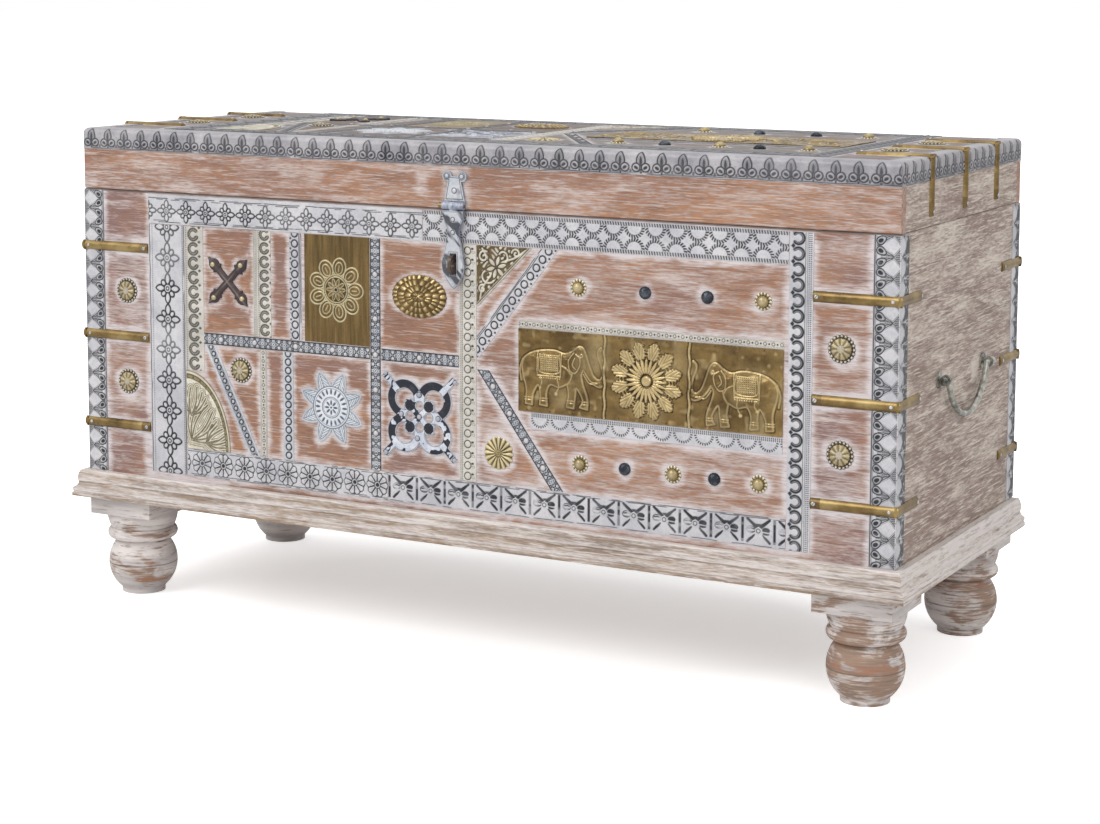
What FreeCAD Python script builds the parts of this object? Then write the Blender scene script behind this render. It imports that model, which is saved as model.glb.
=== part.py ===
import FreeCAD, Part
import math
import os
import types

import Sketcher
from FreeCAD import Placement, Rotation, Vector

# Dowry chest on turned feet, with a hinged lid, a hasp over a staple, bail handles and embossed metal strips.
# X runs along the chest, -Y is its front, +Z is up. The origin is at floor level under the middle of its box.

os.makedirs("parts", exist_ok=True)
doc = FreeCAD.newDocument("DowryChest")

# Driving sizes, in millimetres
SIZES = {
    # Carcass and lid
    "body_wide": 1144,
    "body_deep": 432,
    "body_rise": 415,
    "lid_rise": 79.5,
    "board": 15,
    "lid_board": 15,
    "floor_board": 12,
    "seam_gap": 0.5,
    "arris": 1.2,
    "lid_round": 6,
    "overrun": 5,
    # Plinth moulding
    "plinth_rise": 35,
    "plinth_out": 18,
    # Turned feet
    "foot_rise": 135,
    "foot_inset_x": 50,
    "foot_inset_y": 47,
    "foot_block": 98,
    "foot_block_rise": 25,
    "foot_score": 1.2,
    "foot_score_lift": 34,
    "foot_disc": 29,
    "foot_disc_rise": 9,
    "foot_bulb": 46,
    "foot_bulb_lift": 42,
    "foot_neck": 33.5,
    "foot_ring": 46.8,
    "foot_ring_lift": 82,
    "foot_ring_half": 8,
    "foot_ring_root": 40,
    "foot_collar": 47.3,
    "foot_collar_root": 42.4,
    "dowel": 11,
    "dowel_depth": 34,
    "dowel_gap": 0.1,
    # Hinges at the back
    "hinge_wide": 60,
    "hinge_leaf": 28,
    "hinge_sheet": 2,
    "hinge_knuckle": 5,
    "hinge_pin": 2,
    "hinge_pin_gap": 0.05,
    "hinge_knuckle_gap": 0.3,
    "hinge_root_gap": 0.5,
    "hinge_spread": 410,
    # Hasp and staple
    "hasp_sheet": 3,
    "hasp_knuckle": 4.8,
    "hasp_pin": 2,
    "hasp_pin_gap": 0.05,
    "hasp_axis_out": 5.3,
    "hasp_axis_lift": 4.7,
    "hasp_row": 15,
    "hasp_eye": 5.2,
    "hasp_knuckle_gap": 0.3,
    "hasp_root_gap": 0.7,
    "hasp_knob": 3.6,
    "hasp_knob_out": 5,
    "hasp_plate_rise": 37,
    "hasp_plate_waist": 9.5,
    "hasp_plate_foot": 14.5,
    "hasp_ear": 6.5,
    "hasp_ear_spread": 10.5,
    "leaf_drop": 102,
    "leaf_shoulder": 14.4,
    "leaf_shoulder_drop": 15,
    "leaf_waist": 8.5,
    "leaf_waist_high": 28,
    "leaf_waist_low": 37,
    "leaf_head": 15.8,
    "leaf_head_drop": 70,
    "slot_wide": 9,
    "slot_tall": 27,
    "slot_drop": 71.7,
    "staple_thick": 4.5,
    "staple_tall": 23,
    "staple_out": 17,
    "staple_round": 8,
    "staple_eye": 3.6,
    "staple_eye_out": 11.3,
    "staple_tang": 12,
    "staple_clinch": 2,
    "mortise_gap": 0.1,
    # Bail handles
    "handle_lift": 367,
    "handle_out": 9,
    "bail_rod": 3.75,
    "bail_half_span": 70,
    "bail_drop": 51,
    "bail_turn": 6,
    "bail_end": 88,
    "bail_ball": 5.3,
    "post_at": 79.5,
    "post_thick": 5,
    "post_ring": 6.5,
    "post_gap": 0.1,
    "post_shank": 3,
    "post_rose": 10,
    "post_rose_thick": 2,
    "post_rivet": 6,
    "post_rivet_thick": 2,
    "shank_gap": 0.1,
    # Sheet-metal strips and plates
    "sheet": 1,
    "lay_gap": 1,
    "corner_leg": 31,
    "corner_side_leg": 28,
    "corner_back_leg": 27,
    "edge_strip": 27,
    "outer_panel": 73,
    "border_left": 57,
    "border_right": 29,
    "border_top": 38,
    "border_bottom": 36,
    "border_lift": 8,
    "border_drop": 3,
    "beaded": 29,
    "beaded_narrow": 27,
    "beaded_slip": 10,
    "chain": 18,
    "chain_narrow": 15,
    "plate_margin": 5,
    "filigree": 15,
    "scroll": 24,
    "scroll_offset": 5,
    "diagonal_narrow": 17,
    "diagonal_wide": 24,
    "panel_strip": 9,
    "lace_strip": 20,
    # Medallions, rosettes and studs
    "star_plate": 2,
    "oval_plate": 4,
    "fret_arm": 13,
    "fret_plate": 2,
    "cross_plate": 4,
    "rosette": 16.6,
    "rosette_rise": 3,
    "sun_rosette": 20.5,
    "brass_stud": 10.8,
    "brass_stud_rise": 7,
    "iron_stud": 7.7,
    "iron_stud_rise": 6,
    # Half-round straps over the corners and the lid's edges
    "strap_wide": 13,
    "strap_proud": 4,
    "strap_side": 68,
    "lid_strap_drop": 68,
    "nail_head": 6.5,
    "nail_rise": 5,
}

sheet = doc.addObject("Spreadsheet::Sheet", "Sizes")
for row, (alias, number) in enumerate(SIZES.items(), start=1):
    sheet.set(f"A{row}", alias)
    sheet.set(f"B{row}", str(number))
    sheet.setAlias(f"B{row}", alias)
doc.recompute()


class Size:
    """A length with its value and the expression that binds it to the sheet."""

    def __init__(self, text, value):
        self.text = text
        self.value = value

    def joined(self, sign, other, value):
        return Size(f"({self.text} {sign} {words(other)})", value)

    def __add__(self, other):
        return self.joined("+", other, self.value + plain(other))

    def __sub__(self, other):
        return self.joined("-", other, self.value - plain(other))

    def __mul__(self, other):
        return self.joined("*", other, self.value * plain(other))

    def __truediv__(self, other):
        return self.joined("/", other, self.value / plain(other))

    def __rmul__(self, other):
        return self * other

    def __neg__(self):
        return Size(f"(0 - {self.text})", -self.value)


def words(size):
    return size.text if isinstance(size, Size) else repr(size)


def plain(size):
    return size.value if isinstance(size, Size) else size


def root(size):
    return Size(f"sqrt({size.text})", math.sqrt(size.value))


def smaller(one, other):
    return Size(f"min({one.text}; {other.text})", min(one.value, other.value))


def bind(thing, prop, size):
    """Ties a property to the sheet."""
    thing.setExpression(prop, words(size))


ZERO = Size("0", 0.0)
s = types.SimpleNamespace(**{a: Size(f"Sizes.{a}", float(sheet.get(a))) for a in SIZES})

# Levels and faces that several pieces share
middle_y = (s.plinth_out - 2 * s.hinge_knuckle) / 2
front_y = middle_y - s.body_deep / 2
back_y = middle_y + s.body_deep / 2
left_x = -(s.body_wide / 2)
right_x = s.body_wide / 2
plinth_top = s.foot_rise + s.plinth_rise
rim = s.foot_rise + s.body_rise
lid_low = rim + s.seam_gap
lid_top = lid_low + s.lid_rise
seam = rim + s.seam_gap / 2
inside_wide = s.body_wide - 2 * s.board
inside_deep = s.body_deep - 2 * s.board
rail_rise = s.lid_rise - s.lid_board
strap_front = s.corner_leg + s.outer_panel - s.lay_gap
strap_top = strap_front - s.strap_wide


def put(thing, x=ZERO, y=ZERO, z=ZERO, turn=None):
    """Places a thing, with its base bound to the sheet."""
    thing.Placement = Placement(Vector(plain(x), plain(y), plain(z)), turn or Rotation())
    for letter, size in zip("xyz", (x, y, z)):
        bind(thing, f"Placement.Base.{letter}", size)
    return thing


def box(name, length, width, height):
    made = doc.addObject("Part::Box", name)
    for prop, size in (("Length", length), ("Width", width), ("Height", height)):
        bind(made, prop, size)
    return made


def rod(name, radius, height):
    made = doc.addObject("Part::Cylinder", name)
    bind(made, "Radius", radius)
    bind(made, "Height", height)
    return made


def cone(name, foot, head, height):
    made = doc.addObject("Part::Cone", name)
    bind(made, "Radius1", foot)
    bind(made, "Radius2", head)
    bind(made, "Height", height)
    return made


def joined(name, pieces):
    made = doc.addObject("Part::MultiFuse", name)
    made.Shapes = pieces
    return made


def common(name, pieces):
    made = doc.addObject("Part::MultiCommon", name)
    made.Shapes = pieces
    return made


def cut(name, base, tool):
    made = doc.addObject("Part::Cut", name)
    made.Base = base
    made.Tool = tool
    return made


NODES = []


def node(label, thing):
    """Keeps a thing as a sub-part under its label."""
    thing.Label = label
    NODES.append(thing)
    return thing


def group(label, pieces):
    """Keeps several separate solids as one sub-part."""
    made = doc.addObject("Part::Compound", label)
    made.Links = pieces
    return node(label, made)


def new_body(name):
    return doc.addObject("PartDesign::Body", name)


def new_sketch(body, name, role, lift=None, turn=0):
    """A sketch on one of the body's own planes, turned on it or lifted off it where that is asked."""
    made = body.newObject("Sketcher::SketchObject", name)
    plane = [feature for feature in body.Origin.OriginFeatures if feature.Role == role]
    made.AttachmentSupport = [(plane[0], "")]
    made.MapMode = "FlatFace"
    made.AttachmentOffset = Placement(Vector(), Rotation(Vector(0, 0, 1), turn))
    if lift is not None:
        bind(made, "AttachmentOffset.Base.z", lift)
    return made


def hold(sketch, geometry, end, point):
    """Holds one end of a sketch line where its sizes say."""
    for kind, axis, size in (("DistanceX", -2, point[0]), ("DistanceY", -1, point[1])):
        if abs(size.value) < 1e-9:
            sketch.addConstraint(Sketcher.Constraint("PointOnObject", geometry, end, axis))
            continue
        at = sketch.addConstraint(Sketcher.Constraint(kind, -1, 1, geometry, end, size.value))
        sketch.setExpression(f"Constraints[{at}]", size.text)


def trace(sketch, points, closed=True):
    """Draws an outline. A point is (x, y), or (x, y, centre) where an arc about that centre leads to it."""
    flat = [Vector(p[0].value, p[1].value, 0) for p in points]
    ends = []
    steps = range(0 if closed else 1, len(points))
    for i in steps:
        start, stop = flat[i - 1], flat[i]
        if len(points[i]) == 2:
            index = sketch.addGeometry(Part.LineSegment(start, stop), False)
            ends.append((index, 1, 2))
            continue
        centre = points[i][2]
        hub = Vector(centre[0].value, centre[1].value, 0)
        reach = (start - hub).Length
        circle = Part.Circle(hub, Vector(0, 0, 1), reach)
        forward = (start - hub).cross(stop - hub).z > 0
        first, last = (start, stop) if forward else (stop, start)
        arc = Part.ArcOfCircle(circle, circle.parameter(first), circle.parameter(last))
        index = sketch.addGeometry(arc, False)
        ends.append((index, 1, 2) if forward else (index, 2, 1))
        across = points[i - 1][0] - centre[0]
        along = points[i - 1][1] - centre[1]
        at = sketch.addConstraint(Sketcher.Constraint("Radius", index, reach))
        sketch.setExpression(f"Constraints[{at}]", root(across * across + along * along).text)
    for place, i in enumerate(steps):
        hold(sketch, ends[place][0], ends[place][2], points[i])
        if place or closed:
            before = ends[place - 1]
            joint = Sketcher.Constraint("Coincident", before[0], before[2], ends[place][0], ends[place][1])
            sketch.addConstraint(joint)
        else:
            hold(sketch, ends[0][0], ends[0][1], points[0])
    return sketch


def ring(sketch, radius, x=ZERO, y=ZERO):
    index = sketch.addGeometry(Part.Circle(Vector(x.value, y.value, 0), Vector(0, 0, 1), radius.value), False)
    at = sketch.addConstraint(Sketcher.Constraint("Radius", index, radius.value))
    sketch.setExpression(f"Constraints[{at}]", radius.text)
    hold(sketch, index, 3, (x, y))
    return sketch


def oblong(x, y, wide, tall):
    """The corners of a rectangle about its middle."""
    return [
        (x - wide / 2, y - tall / 2),
        (x + wide / 2, y - tall / 2),
        (x + wide / 2, y + tall / 2),
        (x - wide / 2, y + tall / 2),
    ]


def pad(body, sketch, length, both=False, back=False):
    made = body.newObject("PartDesign::Pad", "Pad")
    made.Profile = sketch
    bind(made, "Length", length)
    if both:
        made.Midplane = True
    made.Reversed = back
    doc.recompute()
    return made


def pocket(body, sketch, through=True, depth=None):
    made = body.newObject("PartDesign::Pocket", "Pocket")
    made.Profile = sketch
    if through:
        made.Type = "ThroughAll"
        made.Midplane = True
    else:
        bind(made, "Length", depth)
    before = body.Shape.Volume
    doc.recompute()
    if body.Shape.Volume > before - 1e-6:
        raise RuntimeError(f"a pocket in {body.Name} cuts nothing")
    return made


def moulding(name, profile, length, x_in, x_out, mitres=(False, False)):
    """A length of moulding along Y, its profile drawn outward along X and up along Z, with mitred ends."""
    body = new_body(name)
    pad(body, trace(new_sketch(body, "Profile", "XZ_Plane"), profile), length, both=True)
    deep = x_out - x_in
    for side, wanted in zip((-1, 1), mitres):
        if wanted:
            end = side * (length / 2)
            corner = [
                (x_in - s.overrun, end - side * (deep + s.overrun)),
                (x_out + s.overrun, end + side * s.overrun),
                (x_in - s.overrun, end + side * s.overrun),
            ]
            pocket(body, trace(new_sketch(body, "Mitre", "XY_Plane"), corner))
    return body


# How a moulding's own X and Y turn to face each way
FACING = {
    "front": Rotation(Vector(0, 0, 1), -90),
    "right": Rotation(),
    "back": Rotation(Vector(0, 0, 1), 90),
    "left": Rotation(Vector(0, 0, 1), 180),
}


def wall_profile(thick, rise, low=False, high=False):
    """A board's end, with a small chamfer on the outer arris where two boards meet at the seam."""
    points = [(-thick, ZERO)]
    points += [(-s.arris, ZERO), (ZERO, s.arris)] if low else [(ZERO, ZERO)]
    points += [(ZERO, rise - s.arris), (-s.arris, rise)] if high else [(ZERO, rise)]
    points += [(-thick, rise)]
    return points


def carcass():
    """Front and back run the full length, and the sides fit between them round the bottom board."""
    profile = wall_profile(s.board, s.body_rise, high=True)
    front = moulding("front_panel", profile, s.body_wide, -s.board, ZERO)
    mortise = oblong(ZERO, staple_z - s.foot_rise, s.staple_thick + 2 * s.mortise_gap, s.staple_tang)
    pocket(front, trace(new_sketch(front, "Mortise", "YZ_Plane"), mortise))
    node("front_panel", put(front, ZERO, front_y, s.foot_rise, FACING["front"]))
    back = moulding("back_panel", wall_profile(s.board, s.body_rise), s.body_wide, -s.board, ZERO)
    node("back_panel", put(back, ZERO, back_y, s.foot_rise, FACING["back"]))
    for side, at in (("left", left_x), ("right", right_x)):
        panel = moulding(f"{side}_side_panel", profile, inside_deep, -s.board, ZERO)
        holes = new_sketch(panel, "ShankHoles", "YZ_Plane")
        for way in (-1, 1):
            ring(holes, s.post_shank + s.shank_gap, way * s.post_at, s.handle_lift - s.foot_rise)
        pocket(panel, holes)
        node(f"{side}_side_panel", put(panel, at, middle_y, s.foot_rise, FACING[side]))
    floor = box("Floor", inside_wide, inside_deep, s.floor_board)
    put(floor, left_x + s.board, front_y + s.board, s.foot_rise)
    holes = []
    for x, y in foot_places():
        hole = rod("DowelHole", s.dowel + s.dowel_gap, s.floor_board + 2 * s.overrun)
        holes.append(put(hole, x, y, s.foot_rise - s.overrun))
    node("bottom_board", cut("bottom_board", floor, joined("DowelHoles", holes)))


def foot_places():
    """The four feet's axes, front left, front right, back left, back right."""
    return [
        (way * (s.body_wide / 2 - s.foot_inset_x), middle_y + deep * (s.body_deep / 2 - s.foot_inset_y))
        for deep in (-1, 1)
        for way in (-1, 1)
    ]


# Shares of the plinth's projection and height, from its bottom to its top
PLINTH_SHARES = [(1, 0), (1, 0.13), (0.9, 0.17), (0.97, 0.21), (0.97, 0.33)]
PLINTH_COVE_SHARES = (0.63, 0.55)
PLINTH_BEAD_SHARES = [(0.69, 0.57), (0.69, 0.7)]
PLINTH_TOP_SHARE = 0.5


def plinth():
    """A moulding round the front and both sides, mitred at the front corners and square at the back."""
    out, rise = s.plinth_out, s.plinth_rise
    fascia = [(out * a, rise * b) if b else (out, ZERO) for a, b in PLINTH_SHARES]
    low = fascia[-1]
    cove = (out * PLINTH_COVE_SHARES[0], rise * PLINTH_COVE_SHARES[1])
    bead = [(out * a, rise * b) for a, b in PLINTH_BEAD_SHARES]
    crown = out * PLINTH_TOP_SHARE
    drop = rise - bead[1][1]
    step = bead[1][0] - crown
    hub_x = bead[1][0] - (step * step + drop * drop) / (2 * step)
    profile = [(ZERO, ZERO)] + fascia
    run, climb = low[0] - cove[0], cove[1] - low[1]
    cove_x = cove[0] + (run * run + climb * climb) / (2 * run)
    profile += [(cove[0], cove[1], (cove_x, cove[1]))] + bead
    profile += [(crown, rise, (hub_x, bead[1][1])), (ZERO, rise)]
    long_side = s.body_wide + 2 * out
    made = moulding("plinth_front", profile, long_side, ZERO, out, (True, True))
    node("plinth_front", put(made, ZERO, front_y, s.foot_rise, FACING["front"]))
    short_side = s.body_deep + out
    for side, at, mitres in (("left", left_x, (False, True)), ("right", right_x, (True, False))):
        made = moulding(f"plinth_{side}", profile, short_side, ZERO, out, mitres)
        node(f"plinth_{side}", put(made, at, middle_y - out / 2, s.foot_rise, FACING[side]))


def foot(name):
    """A turned bun foot: disc, bulb, neck, ring and collar under a square block, bored for its dowel."""
    body = new_body(name)
    bulb_low = s.foot_bulb_lift - root(s.foot_bulb * s.foot_bulb - s.foot_disc * s.foot_disc)
    bulb_high = s.foot_bulb_lift + root(s.foot_bulb * s.foot_bulb - s.foot_neck * s.foot_neck)
    ring_low = s.foot_ring_lift - s.foot_ring_half
    ring_high = s.foot_ring_lift + s.foot_ring_half
    block_low = s.foot_rise - s.foot_block_rise
    swell = s.foot_ring - s.foot_ring_root
    ring_hub = s.foot_ring - (swell * swell + s.foot_ring_half * s.foot_ring_half) / (2 * swell)
    flare = s.foot_collar - s.foot_collar_root
    flare_rise = block_low - ring_high
    flare_hub = s.foot_collar - (flare * flare + flare_rise * flare_rise) / (2 * flare)
    profile = [
        (ZERO, ZERO),
        (s.foot_disc, ZERO),
        (s.foot_disc, bulb_low),
        (s.foot_neck, bulb_high, (ZERO, s.foot_bulb_lift)),
        (s.foot_neck, ring_low),
        (s.foot_ring_root, ring_low),
        (s.foot_ring_root, ring_high, (ring_hub, s.foot_ring_lift)),
        (s.foot_collar_root, ring_high),
        (s.foot_collar, block_low, (flare_hub, block_low)),
        (ZERO, block_low),
    ]
    turned = body.newObject("PartDesign::Revolution", "Turning")
    turned.Profile = trace(new_sketch(body, "Profile", "XZ_Plane"), profile)
    turned.ReferenceAxis = (turned.Profile[0], ["V_Axis"])
    turned.Angle = 360
    doc.recompute()
    deepest = root(s.foot_bulb * s.foot_bulb - s.foot_score * s.foot_score) - s.foot_score
    wide = s.foot_bulb + s.foot_score
    score = [
        (deepest, s.foot_score_lift),
        (wide, s.foot_score_lift - 2 * s.foot_score),
        (wide, s.foot_score_lift + 2 * s.foot_score),
    ]
    groove = body.newObject("PartDesign::Groove", "Score")
    groove.Profile = trace(new_sketch(body, "ScoreLine", "XZ_Plane"), score)
    groove.ReferenceAxis = (groove.Profile[0], ["V_Axis"])
    groove.Angle = 360
    doc.recompute()
    block = new_sketch(body, "Block", "XY_Plane", block_low)
    square = trace(block, oblong(ZERO, ZERO, s.foot_block, s.foot_block))
    pad(body, square, s.foot_block_rise)
    bore = ring(new_sketch(body, "Bore", "XY_Plane", s.foot_rise), s.dowel + s.dowel_gap)
    pocket(body, bore, False, s.dowel_depth)
    return body


def feet():
    names = ("foot_front_left", "foot_front_right", "foot_back_left", "foot_back_right")
    dowels = []
    for name, (x, y) in zip(names, foot_places()):
        node(name, put(foot(name), x, y))
        pin = rod("Dowel", s.dowel, s.dowel_depth + s.floor_board)
        dowels.append(put(pin, x, y, s.foot_rise - s.dowel_depth))
    group("foot_dowels", dowels)


ALONG_X = Rotation(Vector(0, 1, 0), 90)
ALONG_Y = Rotation(Vector(1, 0, 0), -90)
OUT_FRONT = Rotation(Vector(1, 0, 0), 90)


def barrel(radius, x, y, z, length):
    """A cylinder along X from x."""
    return put(rod("Barrel", radius, length), x, y, z, ALONG_X)


HINGE_KNUCKLES = 3


def hinge_leaves():
    """Three butt hinges at the back. The body leaf has the outer knuckles and the lid leaf the middle one."""
    axis_y = back_y + s.hinge_knuckle
    share = s.hinge_wide / HINGE_KNUCKLES
    body_leaves, lid_leaves, pins = [], [], []
    plate_rise = s.hinge_leaf - s.hinge_knuckle - s.hinge_root_gap
    bored = s.hinge_pin + s.hinge_pin_gap
    for place in (-1, 0, 1):
        x = place * s.hinge_spread - s.hinge_wide / 2
        hole = barrel(bored, x - s.overrun, axis_y, seam, s.hinge_wide + 2 * s.overrun)
        plate = put(box("Plate", s.hinge_wide, s.hinge_sheet, plate_rise), x, back_y, seam - s.hinge_leaf)
        body_parts = [plate]
        for k in (0, 2):
            at = x + share * k
            body_parts.append(barrel(s.hinge_knuckle, at, axis_y, seam, share))
            tab_rise = s.hinge_knuckle + s.hinge_root_gap
            body_parts.append(put(box("Tab", share, s.hinge_sheet, tab_rise), at, back_y, seam - tab_rise))
        body_leaves.append(cut("BodyLeaf", joined("BodyLeafSolid", body_parts), hole))
        at = x + share + s.hinge_knuckle_gap
        wide = share - 2 * s.hinge_knuckle_gap
        tab_rise = s.hinge_knuckle + s.hinge_root_gap
        plate = put(box("Plate", s.hinge_wide, s.hinge_sheet, plate_rise), x, back_y, seam + tab_rise)
        tab = put(box("Tab", wide, s.hinge_sheet, tab_rise), at, back_y, seam)
        hole = barrel(bored, x - s.overrun, axis_y, seam, s.hinge_wide + 2 * s.overrun)
        knuckle = barrel(s.hinge_knuckle, at, axis_y, seam, wide)
        lid_leaves.append(cut("LidLeaf", joined("LidLeafSolid", [plate, tab, knuckle]), hole))
        pins.append(barrel(s.hinge_pin, x, axis_y, seam, s.hinge_wide))
    group("body_hinge_leaves", body_leaves)
    group("lid_hinge_leaves", lid_leaves)
    group("hinge_pins", pins)


def lid():
    """Four rails under a top board whose upper edges are rounded."""
    profile = wall_profile(s.board, rail_rise, low=True)
    front = moulding("lid_front_rail", profile, s.body_wide, -s.board, ZERO)
    node("lid_front_rail", put(front, ZERO, front_y, lid_low, FACING["front"]))
    back = moulding("lid_back_rail", wall_profile(s.board, rail_rise), s.body_wide, -s.board, ZERO)
    node("lid_back_rail", put(back, ZERO, back_y, lid_low, FACING["back"]))
    for side, at in (("left", left_x), ("right", right_x)):
        rail = moulding(f"lid_{side}_rail", profile, inside_deep, -s.board, ZERO)
        node(f"lid_{side}_rail", put(rail, at, middle_y, lid_low, FACING[side]))
    body = new_body("lid_top_board")
    outline = oblong(ZERO, ZERO, s.body_wide, s.body_deep)
    slab = pad(body, trace(new_sketch(body, "Outline", "XY_Plane"), outline), s.lid_board)
    upper = [
        f"Edge{i}"
        for i, edge in enumerate(slab.Shape.Edges, start=1)
        if abs(edge.BoundBox.ZMin - s.lid_board.value) < 1e-6
    ]
    rounded = body.newObject("PartDesign::Fillet", "RoundedEdges")
    rounded.Base = (slab, upper)
    bind(rounded, "Radius", s.lid_round)
    node("lid_top_board", put(body, ZERO, middle_y, lid_top - s.lid_board))


hasp_axis_y = front_y - s.hasp_axis_out
hasp_axis_z = rim + s.hasp_axis_lift
staple_z = hasp_axis_z - s.slot_drop


def hasp_plate():
    """The lobed plate on the lid's front rail, with two knuckles at its foot for the hasp's pin."""
    body = new_body("HaspShield")
    low = s.hasp_knuckle + s.hasp_root_gap
    high = low + s.hasp_plate_rise
    ear_z = high - s.hasp_ear
    waist_z = ear_z - s.hasp_ear
    half, waist = s.hasp_plate_foot, s.hasp_plate_waist
    outline = [(-half, low), (half, low), (waist, waist_z)]
    outline += [(waist, ear_z), (-waist, ear_z), (-waist, waist_z)]
    pad(body, trace(new_sketch(body, "Shield", "XZ_Plane"), outline), s.hasp_sheet)
    for way in (-1, 1):
        ear = ring(new_sketch(body, "Ear", "XZ_Plane"), s.hasp_ear, way * s.hasp_ear_spread, ear_z)
        pad(body, ear, s.hasp_sheet)
    put(body, ZERO, front_y, hasp_axis_z)
    wide = s.hasp_row - s.hasp_eye - s.hasp_knuckle_gap
    pieces = [body]
    for at in (-s.hasp_row, s.hasp_eye + s.hasp_knuckle_gap):
        pieces.append(barrel(s.hasp_knuckle, at, hasp_axis_y, hasp_axis_z, wide))
        pieces.append(put(box("Tab", wide, s.hasp_sheet, low), at, front_y - s.hasp_sheet, hasp_axis_z))
    reach = s.hasp_row + s.overrun
    hole = barrel(s.hasp_pin + s.hasp_pin_gap, -reach, hasp_axis_y, hasp_axis_z, 2 * reach)
    node("hasp_plate", cut("HaspPlate", joined("HaspPlateSolid", pieces), hole))


def hasp_pin():
    """A plain pin whose left end stands out in a turned knob."""
    stem = barrel(s.hasp_pin, -s.hasp_row, hasp_axis_y, hasp_axis_z, 2 * s.hasp_row)
    knob = barrel(s.hasp_knob, -s.hasp_row - s.hasp_knob_out, hasp_axis_y, hasp_axis_z, s.hasp_knob_out)
    node("hasp_pin", joined("hasp_pin", [stem, knob]))


def hasp_leaf():
    """The swinging leaf: shoulders, narrow waist and a pointed head with a slot for the staple."""
    body = new_body("HaspBlade")
    top = -(s.hasp_knuckle + s.hasp_root_gap)
    tip = s.leaf_drop - s.leaf_head_drop
    sweep = (s.leaf_head * s.leaf_head + tip * tip) / (2 * s.leaf_head)
    hub = sweep - s.leaf_head
    outline = [
        (-s.leaf_shoulder, top),
        (s.leaf_shoulder, top),
        (s.leaf_shoulder, -s.leaf_shoulder_drop),
        (s.leaf_waist, -s.leaf_waist_high),
        (s.leaf_waist, -s.leaf_waist_low),
        (s.leaf_head, -s.leaf_head_drop),
        (ZERO, -s.leaf_drop, (-hub, -s.leaf_head_drop)),
        (-s.leaf_head, -s.leaf_head_drop, (hub, -s.leaf_head_drop)),
        (-s.leaf_waist, -s.leaf_waist_low),
        (-s.leaf_waist, -s.leaf_waist_high),
        (-s.leaf_shoulder, -s.leaf_shoulder_drop),
    ]
    pad(body, trace(new_sketch(body, "Outline", "XZ_Plane"), outline), s.hasp_sheet, both=True)
    slot = oblong(ZERO, -s.slot_drop, s.slot_wide, s.slot_tall)
    pocket(body, trace(new_sketch(body, "Slot", "XZ_Plane"), slot))
    put(body, ZERO, hasp_axis_y, hasp_axis_z)
    wide = 2 * s.hasp_eye
    eye = barrel(s.hasp_knuckle, -s.hasp_eye, hasp_axis_y, hasp_axis_z, wide)
    tab_rise = s.hasp_knuckle + s.hasp_root_gap
    tab = box("Tab", wide, s.hasp_sheet, tab_rise)
    put(tab, -s.hasp_eye, hasp_axis_y - s.hasp_sheet / 2, hasp_axis_z - tab_rise)
    bored = s.hasp_pin + s.hasp_pin_gap
    hole = barrel(bored, -s.hasp_eye - s.overrun, hasp_axis_y, hasp_axis_z, wide + 2 * s.overrun)
    node("hasp_leaf", cut("HaspLeaf", joined("HaspLeafSolid", [body, tab, eye]), hole))


def staple():
    """A flat eye that stands out through the slot, with a tang through the front panel clinched inside."""
    body = new_body("staple")
    half = s.staple_tall / 2
    bend = s.staple_out - s.staple_round
    shoulder = half - s.staple_round
    tang = s.staple_tang / 2
    outline = [
        (ZERO, -half),
        (bend, -half),
        (s.staple_out, -shoulder, (bend, -shoulder)),
        (s.staple_out, shoulder),
        (bend, half, (bend, shoulder)),
        (ZERO, half),
        (ZERO, tang),
        (-s.board, tang),
        (-s.board, -tang),
        (ZERO, -tang),
    ]
    pad(body, trace(new_sketch(body, "Outline", "XZ_Plane"), outline), s.staple_thick, both=True)
    pocket(body, ring(new_sketch(body, "Eye", "XZ_Plane"), s.staple_eye, s.staple_eye_out))
    clinch = oblong(-s.board - s.staple_clinch / 2, ZERO, s.staple_clinch, s.staple_tang)
    ends = trace(new_sketch(body, "Clinch", "XZ_Plane"), clinch)
    pad(body, ends, s.staple_thick + 2 * s.staple_clinch, both=True)
    node("staple", put(body, ZERO, front_y, staple_z, FACING["front"]))


def bail(name):
    """A round rod bent into a shallow bow, its ends turned out through the posts to ball tips."""
    body = new_body(name)
    bow = (s.bail_half_span * s.bail_half_span + s.bail_drop * s.bail_drop) / (2 * s.bail_drop)
    hub_z = bow - s.bail_drop
    sum_r = bow + s.bail_turn
    lower = hub_z + s.bail_turn
    turn_y = root(sum_r * sum_r - lower * lower)
    touch_y = turn_y * bow / sum_r
    touch_z = hub_z - lower * bow / sum_r
    hub = (ZERO, hub_z)
    path = [
        (-s.bail_end, ZERO),
        (-turn_y, ZERO),
        (-touch_y, touch_z, (-turn_y, -s.bail_turn)),
        (ZERO, -s.bail_drop, hub),
        (touch_y, touch_z, hub),
        (turn_y, ZERO, (turn_y, -s.bail_turn)),
        (s.bail_end, ZERO),
    ]
    route = trace(new_sketch(body, "Route", "YZ_Plane"), path, closed=False)
    section = ring(new_sketch(body, "Section", "XZ_Plane", s.bail_end), s.bail_rod)
    doc.recompute()
    pipe = body.newObject("PartDesign::AdditivePipe", "Rod")
    pipe.Profile = section
    pipe.Spine = (route, [])
    doc.recompute()
    for way in (-1, 1):
        ball = body.newObject("PartDesign::AdditiveSphere", "Ball")
        bind(ball, "Radius", s.bail_ball)
        put(ball, ZERO, way * s.bail_end)
        doc.recompute()
    return body


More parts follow.
